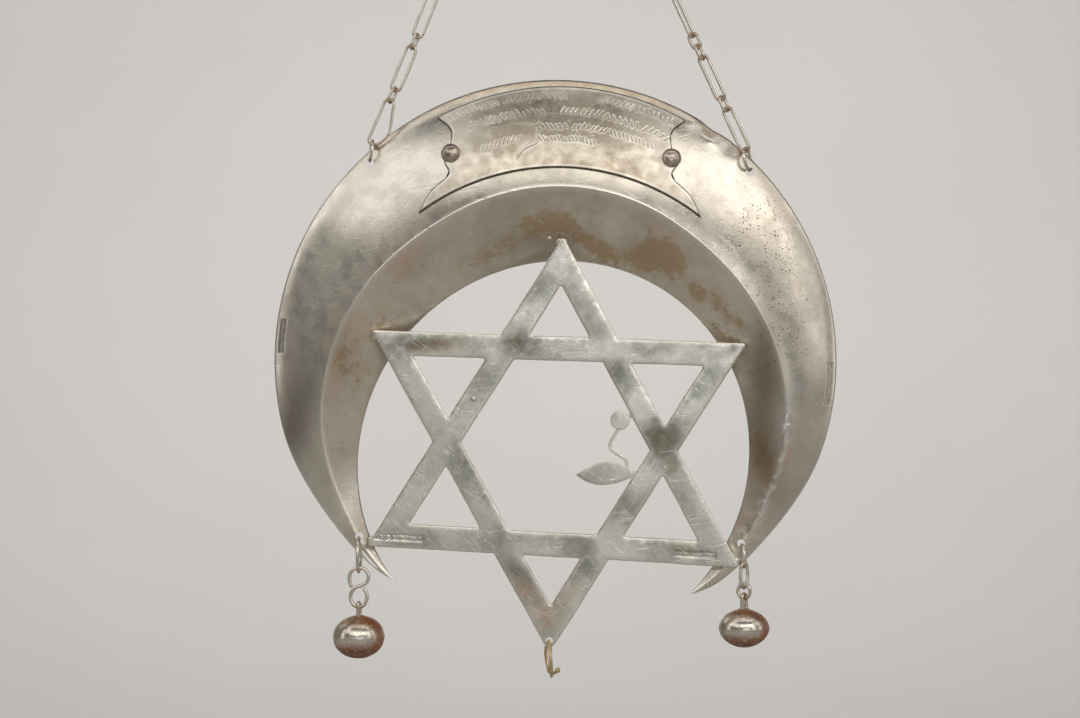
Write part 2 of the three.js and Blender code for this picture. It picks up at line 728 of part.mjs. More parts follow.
// Lays links end to end from a start point to the top ring, along a line that sags a little.
function makeChain(name, { pattern, start, sag, turns, twist }) {
  const group = new THREE.Group();
  const hold = ringContact(start);
  const lengths = [...pattern].map((kind) => {
    const outer = kind === "L" ? LONG_LINK_LENGTH : SMALL_LINK_LENGTH;
    return outer - 2 * CHAIN_WIRE;
  });
  const total = lengths.reduce((sum, length) => sum + length);
  const inward = -Math.sign(start[0]);
  const at = (share) => {
    const bow = inward * sag * 4 * share * (1 - share);
    return [
      start[0] + (hold[0] - start[0]) * share + bow,
      start[1] + (hold[1] - start[1]) * share,
    ];
  };
  let run = 0;
  const numbers = { L: 0, s: 0 };
  [...pattern].forEach((kind, i) => {
    const from = at(run / total);
    run += lengths[i];
    const to = at(run / total);
    numbers[kind] += 1;
    const size = kind === "L" ? "long" : "small";
    const isBent = name === "left" && i === 0;
    const geometry = isBent ? bentLinkGeometry() : chainLinkGeometry(kind);
    const mesh = namedMesh(`chain_${name}_${size}_${numbers[kind]}`, geometry, SILVER);
    mesh.position.set((from[0] + to[0]) / 2, 0, (from[1] + to[1]) / 2);
    const heading = Math.atan2(to[0] - from[0], to[1] - from[1]);
    mesh.rotation.set(0, heading, (turns[i % 2] + twist * i) * DEGREE);
    group.add(mesh);
  });
  return group;
}

function chainLinkGeometry(kind) {
  if (kind === "L") return linkGeometry(LONG_LINK_LENGTH, LONG_LINK_WIDTH, CHAIN_WIRE);
  return linkGeometry(SMALL_LINK_LENGTH, SMALL_LINK_WIDTH, CHAIN_WIRE, SMALL_ARC_STEPS);
}

// The left chain's first link has been pulled out of shape: its right side bulges near its foot.
function bentLinkGeometry() {
  const path = linkPath(LONG_LINK_LENGTH, LONG_LINK_WIDTH, CHAIN_WIRE, LONG_ARC_STEPS);
  const side = (LONG_LINK_WIDTH - CHAIN_WIRE) / 2;
  const reach = (LONG_LINK_LENGTH - LONG_LINK_WIDTH) / 2;
  for (const [along, out] of BENT_LINK_SIDE) {
    path.push(new THREE.Vector3(side + BENT_LINK_BULGE * out, 0, reach * along));
  }
  return wireGeometry(path, CHAIN_WIRE, true, LINK_SIDES);
}

// Where a chain that comes from `start` rests inside the top ring.
function ringContact(start) {
  const inner = TOP_RING_RADIUS - TOP_RING_WIRE / 2;
  const length = Math.hypot(...start);
  const chord = (2 * inner * -start[1]) / length - WIRE_GAP;
  return [(start[0] / length) * chord, (start[1] / length) * chord];
}

function makeTopRing() {
  const ring = ringGeometry(TOP_RING_RADIUS, TOP_RING_WIRE, TOP_RING_SEGMENTS);
  const mesh = namedMesh("top_ring", ring, SILVER);
  mesh.position.z = -TOP_RING_RADIUS + TOP_RING_WIRE / 2;
  return mesh;
}

// A ring that reaches from its hole to the chain's first contact point.
function makeHangingRing(name, hole, start, turn) {
  const [holeX, holeZ] = fromShield(hole);
  const span = Math.hypot(start[0] - holeX, start[1] - holeZ);
  const radius = (span - HANGING_RING_REST + HANGING_RING_WIRE / 2 + WIRE_GAP) / 2;
  const share = (HANGING_RING_REST + radius) / span;
  const mesh = namedMesh(name, ringGeometry(radius, HANGING_RING_WIRE), SILVER);
  mesh.position.set(
    holeX + (start[0] - holeX) * share,
    HANGING_RING_Y,
    holeZ + (start[1] - holeZ) * share,
  );
  mesh.rotation.set(0, Math.atan2(start[0] - holeX, start[1] - holeZ), turn * DEGREE);
  return mesh;
}

// A closed oblate ball of two domes, with the seam proud at its equator, and a wire eye on top.
// The top of the eye is at the origin.
function ballWithEye({ width, height, eyeRise, eyeTurn }) {
  const profile = Array.from({ length: BALL_ROWS + 1 }, (_, i) => {
    const turn = (-90 + (180 * i) / BALL_ROWS) * DEGREE;
    const power = 2 / BALL_ROUNDNESS;
    const radius = (width / 2) * Math.max(0, Math.cos(turn)) ** power;
    const rise = Math.sign(turn) * (height / 2) * Math.abs(Math.sin(turn)) ** power;
    const isEnd = i === 0 || i === BALL_ROWS;
    const seam = i === BALL_ROWS / 2 ? BALL_SEAM : 0;
    return new THREE.Vector2(isEnd ? 0 : radius + seam, rise);
  });
  const ballPlace = new THREE.Matrix4()
    .makeTranslation(0, 0, -eyeRise - height / 2)
    .multiply(new THREE.Matrix4().makeRotationX(Math.PI / 2));
  const ball = solidOf(new THREE.LatheGeometry(profile, BALL_SIDES), ballPlace);
  const eyeLength = eyeRise + EYE_SINK;
  const eyePlace = new THREE.Matrix4()
    .makeTranslation(0, 0, -eyeLength / 2)
    .multiply(new THREE.Matrix4().makeRotationZ(eyeTurn * DEGREE));
  const eye = solidOf(linkGeometry(eyeLength, EYE_WIDTH, EYE_WIRE), eyePlace);
  return geometryOf(ball.add(eye));
}

// The S-shaped hook: two nearly closed loops, one above the other, joined by a slanting run.
// The middle of the hook is at the origin.
function hookGeometry() {
  const upper = new THREE.Vector3(0, 0, HOOK_SPACING / 2);
  const lower = new THREE.Vector3(0, 0, -HOOK_SPACING / 2);
  const arc = (centre, radius, from, to) =>
    Array.from({ length: HOOK_STEPS }, (_, i) => {
      const turn = (from + ((to - from) * i) / (HOOK_STEPS - 1)) * DEGREE;
      return new THREE.Vector3(radius * Math.cos(turn), 0, radius * Math.sin(turn)).add(centre);
    });
  const path = [
    ...arc(upper, HOOK_UPPER_RADIUS, ...HOOK_UPPER_ARC),
    ...arc(lower, HOOK_LOWER_RADIUS, ...HOOK_LOWER_ARC),
  ];
  return wireGeometry(path, HOOK_WIRE, false);
}

// Places a piece of a pendant at its height, turned about the vertical and then leaned sideways.
function hung(name, geometry, finish, [x, centreZ], turn, lean = 0) {
  const mesh = namedMesh(name, geometry, finish);
  mesh.position.set(x, PENDANT_Y, centreZ);
  mesh.rotation.set(0, lean * DEGREE, turn * DEGREE);
  return mesh;
}

// Left side: a wide ring in the horn, an S-shaped hook and the larger ball.
function makeLeftPendant() {
  const ringFoot = LEFT_RING_CENTRE_Z - LEFT_RING_RADIUS + LEFT_RING_WIRE / 2;
  const hookCentre = ringFoot + WIRE_GAP + HOOK_WIRE / 2 - HOOK_UPPER_RADIUS - HOOK_SPACING / 2;
  const hookFoot = hookCentre - HOOK_SPACING / 2 - HOOK_LOWER_RADIUS + HOOK_WIRE / 2;
  const eyeTop = hookFoot + WIRE_GAP + EYE_WIRE;
  const ring = ringGeometry(LEFT_RING_RADIUS, LEFT_RING_WIRE);
  const x = LEFT_PENDANT_X;
  return [
    hung("pendant_left_ring", ring, SILVER, [x, LEFT_RING_CENTRE_Z], LEFT_RING_TURN),
    hung("pendant_left_hook", hookGeometry(), SILVER, [x, hookCentre], 0),
    hung("pendant_left_ball", ballWithEye(LEFT_BALL), WARM_SILVER, [x, eyeTop], 0),
  ];
}

// Right side: a small ring in the horn, an oval link, a round link and the smaller ball.
function makeRightPendant() {
  const wire = RIGHT_RING_WIRE;
  const ringFoot = RIGHT_RING_CENTRE_Z - RIGHT_RING_RADIUS + wire / 2;
  const ovalCentre = ringFoot + WIRE_GAP + wire - OVAL_LINK_LENGTH / 2;
  const ovalFoot = ovalCentre - OVAL_LINK_LENGTH / 2 + wire;
  const roundCentre = ovalFoot + WIRE_GAP + wire / 2 - ROUND_LINK_RADIUS;
  const roundFoot = roundCentre - ROUND_LINK_RADIUS + wire / 2;
  const eyeTop = roundFoot + WIRE_GAP + EYE_WIRE;
  const ring = ringGeometry(RIGHT_RING_RADIUS, wire);
  const oval = linkGeometry(OVAL_LINK_LENGTH, OVAL_LINK_WIDTH, wire);
  const round = ringGeometry(ROUND_LINK_RADIUS, wire);
  const x = RIGHT_PENDANT_X;
  const ringX = x + RIGHT_RING_RADIUS * Math.sin(RIGHT_RING_LEAN * DEGREE);
  const ringPlace = [ringX, RIGHT_RING_CENTRE_Z];
  return [
    hung("pendant_right_ring", ring, SILVER, ringPlace, RIGHT_RING_TURN, RIGHT_RING_LEAN),
    hung("pendant_right_oval_link", oval, SILVER, [x, ovalCentre], OVAL_LINK_TURN),
    hung("pendant_right_round_link", round, SILVER, [x, roundCentre], ROUND_LINK_TURN),
    hung("pendant_right_ball", ballWithEye(RIGHT_BALL), WARM_SILVER, [x, eyeTop], 0),
  ];
}

function makeShield() {
  const starPlate = new THREE.Group();
  starPlate.add(makeStar(), makeSpray());
  starPlate.position.y = STAR_PLANE_Y;
  starPlate.rotation.x = STAR_TILT * DEGREE;

  const shield = new THREE.Group();
  shield.add(
    makeCrescent(),
    makeCartouchePlate(),
    makeRivet("rivet_left", RIVET_LEFT),
    makeRivet("rivet_right", RIVET_RIGHT),
    starPlate,
  );
  shield.position.set(SHIELD_CENTRE_X, SHIELD_BACK_Y, SHIELD_CENTRE_Z);
  shield.rotation.y = shieldRadians;
  return shield;
}

const torahShield = new THREE.Group();
torahShield.add(
  makeShield(),
  makeFootRing(),
  makeTopRing(),
  makeHangingRing("hanging_ring_left", HANG_HOLE_LEFT, LEFT_CHAIN.start, HANGING_RING_LEFT_TURN),
  makeHangingRing("hanging_ring_right", HANG_HOLE_RIGHT, RIGHT_CHAIN.start, HANGING_RING_RIGHT_TURN),
  makeChain("left", LEFT_CHAIN),
  makeChain("right", RIGHT_CHAIN),
  ...makeLeftPendant(),
  ...makeRightPendant(),
);

export default torahShield;
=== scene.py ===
"""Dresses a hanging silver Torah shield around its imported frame.

The shield is a domed crescent with its horns down, a flat six-pointed star soldered between the
horns, an engraved plate held by two rivets, a wire chain and two ball pendants. Sizes are in
millimetres and become metres where a mesh is made. X runs to the viewer's right, Z up, and the
front faces -Y. Angles on the crescent are measured from its own top and grow to the left.
"""

import logging
import math
from dataclasses import dataclass, field
from enum import Enum
from itertools import product

import bpy
import numpy as np
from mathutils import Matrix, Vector
from mathutils.geometry import delaunay_2d_cdt


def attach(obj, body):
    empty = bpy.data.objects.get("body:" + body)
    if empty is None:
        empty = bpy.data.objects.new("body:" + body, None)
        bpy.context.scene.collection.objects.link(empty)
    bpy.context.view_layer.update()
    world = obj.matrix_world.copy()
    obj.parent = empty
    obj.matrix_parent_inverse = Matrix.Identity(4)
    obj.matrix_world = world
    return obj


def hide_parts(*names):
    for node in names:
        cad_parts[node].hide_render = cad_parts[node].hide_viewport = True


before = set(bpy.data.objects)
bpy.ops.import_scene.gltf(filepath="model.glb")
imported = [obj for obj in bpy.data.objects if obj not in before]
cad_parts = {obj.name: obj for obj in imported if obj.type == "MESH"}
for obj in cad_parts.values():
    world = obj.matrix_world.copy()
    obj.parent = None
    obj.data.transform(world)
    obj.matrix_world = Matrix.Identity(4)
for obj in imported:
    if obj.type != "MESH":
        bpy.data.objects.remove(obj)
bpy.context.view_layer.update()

MM = 0.001
BODY = "root"

logging.basicConfig(level=logging.INFO, format="%(message)s")
log = logging.getLogger("torah_shield")


class Slot(Enum):
    """The record's material slots."""

    SHEET = "silver_sheet"
    STAR = "star_silver"
    RIVET = "dark_silver"
    WIRE = "silver_wire"
    BALL = "ball_silver"
    GOLD = "golden_wire"


def smooth_step(t: np.ndarray) -> np.ndarray:
    """Rises from 0 to 1 as 3t^2 - 2t^3 while t goes from 0 to 1."""
    s = np.clip(t, 0.0, 1.0)
    return s * s * (3.0 - 2.0 * s)


def bell(distance: np.ndarray, width: float) -> np.ndarray:
    """A soft hump: e to the power of minus (distance / width) squared."""
    return np.exp(-((distance / width) ** 2))


def unit(vectors: np.ndarray) -> np.ndarray:
    """Scales each vector in the last axis to length 1."""
    return vectors / np.maximum(np.linalg.norm(vectors, axis=-1, keepdims=True), 1e-12)


def lattice_noise(points: np.ndarray, size: float, seed: int) -> np.ndarray:
    """Smooth random heights between -1 and 1.

    Each corner of a cubic lattice has a random value, and a point takes the values of its cell's
    eight corners, each weighted by the smooth step of its closeness along the three axes.

    Args:
        points: Places in millimetres, three to a point in the last axis.
        size: Edge of a lattice cell in millimetres.
        seed: Picks the random values.

    Returns:
        One height for each point.
    """
    values = np.random.default_rng(seed).uniform(-1.0, 1.0, 4096)
    cell = points / size
    base = np.floor(cell).astype(np.int64)
    near = smooth_step(cell - base)
    total = np.zeros(points.shape[:-1])
    for corner in product((0, 1), repeat=3):
        at = base + np.array(corner)
        key = (at[..., 0] * 73856093) ^ (at[..., 1] * 19349663) ^ (at[..., 2] * 83492791)
        weight = np.prod(np.where(np.array(corner) == 1, near, 1.0 - near), axis=-1)
        total += values[key & 4095] * weight
    return total


def through_points(points: np.ndarray, corners: tuple[int, ...], steps: int) -> np.ndarray:
    """A smooth curve through points, sharp only at the named corners.

    Between two corners it is a Catmull-Rom curve: each span from p1 to p2 with outer neighbours p0
    and p3 is half of (2 p1 + (p2 - p0) t + (2 p0 - 5 p1 + 4 p2 - p3) t^2 +
    (3 p1 - p0 - 3 p2 + p3) t^3).

    Args:
        points: The points passed through, one to a row.
        corners: Indices of the points that stay sharp.
        steps: Steps in each span.

    Returns:
        The points of the curve.
    """
    stops = sorted({0, *corners, len(points) - 1})
    t = np.linspace(0.0, 1.0, steps, endpoint=False)[:, None]
    runs = []
    for first, last in zip(stops[:-1], stops[1:]):
        run = points[first : last + 1]
        ends = np.vstack([2 * run[0] - run[1], run, 2 * run[-1] - run[-2]])
        for p0, p1, p2, p3 in zip(ends[:-3], ends[1:-2], ends[2:-1], ends[3:]):
            square = (2 * p0 - 5 * p1 + 4 * p2 - p3) * t**2
            cube = (3 * p1 - p0 - 3 * p2 + p3) * t**3
            runs.append(0.5 * (2 * p1 + (p2 - p0) * t + square + cube))
    return np.vstack([*runs, points[-1:]])


def distance_to_strokes(points: np.ndarray, strokes: np.ndarray) -> np.ndarray:
    """Distance from each flat point to the nearest of many straight strokes.

    The foot of the perpendicular on a stroke from a to b is a + (b - a) h, with h the share
    (p - a).(b - a) / |b - a|^2 kept between 0 and 1.

    Args:
        points: Flat places, two to a point.
        strokes: One row a stroke, as x and y of both ends.

    Returns:
        One distance for each point.
    """
    nearest = np.full(points.shape[:-1], np.inf)
    for ax, ay, bx, by in strokes:
        run = np.array([bx - ax, by - ay])
        rel = points - np.array([ax, ay])
        share = np.clip(rel @ run / max(run @ run, 1e-9), 0.0, 1.0)
        gap = np.linalg.norm(rel - share[..., None] * run, axis=-1)
        nearest = np.minimum(nearest, gap)
    return nearest


@dataclass
class Surface:
    """Points in millimetres, faces as index arrays of one width each, and named marks."""

    points: np.ndarray
    faces: list[np.ndarray]
    marks: dict[str, np.ndarray] = field(default_factory=dict)

    def joined(self, other: "Surface") -> "Surface":
        """This surface and another as one, with missing marks taken as 0."""
        shift = len(self.points)
        names = sorted(set(self.marks) | set(other.marks))
        marks = {
            name: np.concatenate(
                [
                    self.marks.get(name, np.zeros(shift)),
                    other.marks.get(name, np.zeros(len(other.points))),
                ]
            )
            for name in names
        }
        faces = [*self.faces, *[f + shift for f in other.faces]]
        return Surface(np.vstack([self.points, other.points]), faces, marks)


def grid_faces(columns: int, rows: int, wrap_columns: bool, wrap_rows: bool) -> np.ndarray:
    """Quads of a grid whose point (i, j) has the index i * rows + j."""
    i = np.arange(columns if wrap_columns else columns - 1)
    j = np.arange(rows if wrap_rows else rows - 1)
    i, j = np.meshgrid(i, j, indexing="ij")
    i2 = (i + 1) % columns
    j2 = (j + 1) % rows
    quads = [i * rows + j, i * rows + j2, i2 * rows + j2, i2 * rows + j]
    return np.stack([q.ravel() for q in quads], axis=-1)


def swept(rings: np.ndarray, closed: bool) -> Surface:
    """Skins rings of points, and ends an open row of rings in a pole at each end.

    Args:
        rings: Points as [ring, place round the ring, xyz], each ring closed on itself.
        closed: Whether the last ring joins the first.

    Returns:
        The closed surface.
    """
    count, around = rings.shape[:2]
    points = rings.reshape(-1, 3)
    quads = grid_faces(count, around, closed, True)[:, ::-1]
    if closed:
        return Surface(points, [quads])
    poles = rings[[0, -1]].mean(axis=1)
    k = np.arange(around)
    start = np.stack([np.full(around, len(points)), k, (k + 1) % around], axis=-1)
    last = (count - 1) * around
    end = np.stack([np.full(around, len(points) + 1), last + (k + 1) % around, last + k], axis=-1)
    return Surface(np.vstack([points, poles]), [quads, start, end])


def sheet_shell(front: np.ndarray, back: np.ndarray, kept: np.ndarray) -> Surface:
    """Closes a sheet whose front has more rows than its back.

    Each column is a closed ring: its front rows, then the kept back rows in reverse. At both end
    columns a strip of triangles joins front to back: every front step meets the last kept back
    row at or below it, and every back step meets the front row where it ends.

    Args:
        front: Front points as [column, row, xyz].
        back: Back points in the same order, of which only the kept rows are used.
        kept: Numbers of the kept rows, rising.

    Returns:
        The closed surface.
    """
    rings = np.concatenate([front, back[:, kept[::-1]]], axis=1)
    count, around = rings.shape[:2]
    rows, last_back = front.shape[1], len(kept) - 1
    behind = lambda k: rows + last_back - k
    step = np.arange(rows - 1)
    under = np.clip(np.searchsorted(kept, step, side="right") - 1, 0, last_back)
    k = np.arange(last_back)
    strip = np.vstack(
        [
            np.stack([step, step + 1, behind(under)], axis=-1),
            np.stack([behind(k + 1), behind(k), kept[1:]], axis=-1),
        ]
    )
    quads = grid_faces(count, around, False, True)[:, ::-1]
    end = strip[:, ::-1] + (count - 1) * around
    return Surface(rings.reshape(-1, 3), [quads, strip, end])


def path_frames(path: np.ndarray, closed: bool, across: np.ndarray) -> tuple[np.ndarray, np.ndarray]:
    """Two directions square to a path at each point: one near `across`, one square to both."""
    if closed:
        along = np.roll(path, -1, axis=0) - np.roll(path, 1, axis=0)
    else:
        along = np.gradient(path, axis=0)
    along = unit(along)
    side = unit(np.cross(along, across))
    return side, np.cross(side, along)


def wire_tube(
    path: np.ndarray, wire: float, closed: bool, across: tuple[float, float, float], sides: int = 14
) -> Surface:
    """Round wire bent along a path, with domed ends where it is open.

    A point of the wire is the path's point plus half the wire times (cos a side + sin a up). An
    open end adds rings that shrink as the cosine while they move out as the sine.

    Args:
        path: Points of the wire's middle, in order.
        wire: Diameter of the wire.
        closed: Whether the wire closes on itself.
        across: A direction roughly square to the path's plane.
        sides: Points round the wire.

    Returns:
        The wire's surface.
    """
    side, up = path_frames(path, closed, np.array(across, float))
    radius = np.full(len(path), wire / 2)
    if not closed:
        caps = np.radians([80.0, 55.0, 28.0])
        first = unit(path[:1] - path[1:2])
        last = unit(path[-1:] - path[-2:-1])
        head = path[:1] + first * (wire / 2) * np.sin(caps)[:, None]
        tail = path[-1:] + last * (wire / 2) * np.sin(caps[::-1])[:, None]
        path = np.vstack([head, path, tail])
        radius = np.concatenate([wire / 2 * np.cos(caps), radius, wire / 2 * np.cos(caps[::-1])])
        side = np.vstack([side[:1]] * 3 + [side] + [side[-1:]] * 3)
        up = np.vstack([up[:1]] * 3 + [up] + [up[-1:]] * 3)
    turn = np.linspace(0.0, 2 * math.pi, sides, endpoint=False)
    ring = np.cos(turn)[None, :, None] * side[:, None] + np.sin(turn)[None, :, None] * up[:, None]
    return swept(path[:, None] + radius[:, None, None] * ring, closed)


def lathe(profile: np.ndarray, steps: int) -> Surface:
    """Turns a profile of (radius, height) about Z, from its top pole to its bottom pole."""
    turn = np.linspace(0.0, 2 * math.pi, steps, endpoint=False)
    radius, height = profile[:, :1], profile[:, 1:]
    rings = np.stack(
        [radius * np.cos(turn), radius * np.sin(turn), np.broadcast_to(height, (len(profile), steps))],
        axis=-1,
    )
    return swept(rings[::-1], False)


def turned_z(points: np.ndarray, degrees: float) -> np.ndarray:
    """Turns points about Z."""
    c, s = math.cos(math.radians(degrees)), math.sin(math.radians(degrees))
    return points @ np.array([[c, s, 0.0], [-s, c, 0.0], [0.0, 0.0, 1.0]])


def turned_y(points: np.ndarray, degrees: float) -> np.ndarray:
    """Turns points about Y, so that +Z moves towards +X."""
    c, s = math.cos(math.radians(degrees)), math.sin(math.radians(degrees))
    return points @ np.array([[c, 0.0, -s], [0.0, 1.0, 0.0], [s, 0.0, c]])


def make_piece(
    name: str,
    surface: Surface,
    finish: "Finish",
    slot: Slot,
    nodes: tuple[str, ...] = (),
    sharp_over: float = 40.0,
) -> bpy.types.Object:
    """Makes one dressed piece that rides on the frame.

    Args:
        name: The piece's name.
        surface: Its shape in millimetres, in the frame's place.
        finish: The finish it is dressed in.
        slot: The record's slot that the finish stands for; not used.
        nodes: Frame nodes that the piece stands for.
        sharp_over: Edges that turn by more degrees than this stay sharp.

    Returns:
        The new object.
    """
    mesh = bpy.data.meshes.new(name)
    faces = [face for group in surface.faces for face in group.tolist()]
    mesh.from_pydata((surface.points * MM).tolist(), [], faces)
    mesh.update()
    for mark, values in surface.marks.items():
        layer = mesh.attributes.new(mark, "FLOAT", "POINT")
        layer.data.foreach_set("value", np.ascontiguousarray(values, np.float32))
    mesh.shade_smooth()
    mesh.set_sharp_from_angle(angle=math.radians(sharp_over))
    mesh.materials.append(finish.material())
    piece = bpy.data.objects.new(name, mesh)
    bpy.context.scene.collection.objects.link(piece)
    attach(piece, BODY)
    if nodes:
        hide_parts(*nodes)
    log.info("%s: %d points, %d faces", name, len(surface.points), len(faces))
    return piece


Colour = tuple[float, float, float]


class NodeSketch:
    """Short calls for laying out a material's nodes."""

    def __init__(self, name: str) -> None:
        """Starts a material with nothing in it but its output."""
        self.material = bpy.data.materials.new(name)
        self.material.use_nodes = True
        self.tree = self.material.node_tree
        self.tree.nodes.clear()
        self.place = self.tree.nodes.new("ShaderNodeTexCoord").outputs["Object"]

    def node(self, kind: str, settings: dict | None = None, **inputs) -> bpy.types.Node:
        """Adds a node, sets its own settings, and fills or links its inputs by name."""
        made = self.tree.nodes.new(kind)
        for key, value in (settings or {}).items():
            setattr(made, key, value)
        for key, value in inputs.items():
            self.fill(made.inputs[key.replace("_", " ")], value)
        return made

    def fill(self, socket: bpy.types.NodeSocket, value) -> None:
        """Links a socket to another, or sets its plain value."""
        if isinstance(value, bpy.types.NodeSocket):
            self.tree.links.new(value, socket)
        else:
            socket.default_value = value

    def math(self, operation: str, first, second=0.0, clamp: bool = False) -> bpy.types.NodeSocket:
        """Works out one sum of two values."""
        made = self.tree.nodes.new("ShaderNodeMath")
        made.operation = operation
        made.use_clamp = clamp
        self.fill(made.inputs[0], first)
        self.fill(made.inputs[1], second)
        return made.outputs[0]

    def stretch(self, value, low: float, high: float, to_low=0.0, to_high=1.0) -> bpy.types.NodeSocket:
        """Maps low..high smoothly to another range, and stops at its ends."""
        made = self.tree.nodes.new("ShaderNodeMapRange")
        made.interpolation_type = "SMOOTHSTEP"
        for socket, number in zip(made.inputs[:5], (value, low, high, to_low, to_high)):
            self.fill(socket, number)
        return made.outputs["Result"]

    def mix(self, share, first, second) -> bpy.types.NodeSocket:
        """Blends from the first colour to the second."""
        made = self.tree.nodes.new("ShaderNodeMix")
        made.data_type = "RGBA"
        self.fill(made.inputs["Factor"], share)
        for socket, colour in zip((made.inputs[6], made.inputs[7]), (first, second)):
            self.fill(socket, (*colour, 1.0) if isinstance(colour, tuple) else colour)
        return made.outputs[2]

    def noise(self, size: float, detail: float = 3.0, rough: float = 0.55, place=None):
        """Cloudy noise whose patches are about `size` millimetres across."""
        made = self.node(
            "ShaderNodeTexNoise",
            Vector=place or self.place,
            Scale=1.0 / (size * MM),
            Detail=detail,
            Roughness=rough,
        )
        return made.outputs["Fac"]

    def mark(self, name: str) -> bpy.types.NodeSocket:
        """Reads one of the piece's painted marks."""
        return self.node("ShaderNodeAttribute", {"attribute_name": name}).outputs["Fac"]

    def turned(self, turn: Colour, longer: Colour) -> bpy.types.NodeSocket:
        """The piece's coordinates along axes turned in degrees, each stretched to be so much longer."""
        rotation = tuple(math.radians(angle) for angle in turn)
        kind = {"vector_type": "TEXTURE"}
        return self.node("ShaderNodeMapping", kind, Vector=self.place, Rotation=rotation, Scale=longer).outputs[0]


class Mark(Enum):
    """Names of the marks painted on the pieces, which carry painted shade, painted highlights and painted reflections
    as well as real stains, tints and wear.
    """

    TARNISH_AND_REFLECTION = "tarnish"
    DULL_AND_SHADE = "dull"
    BLUSH_AND_REFLECTION = "blush"
    GOLDEN = "golden"
    PITS = "pits"
    GROOVE_AND_SHADE = "groove"
    WEAR_AND_HIGHLIGHT = "bright"
    AROUND = "around"
    OUT = "out"


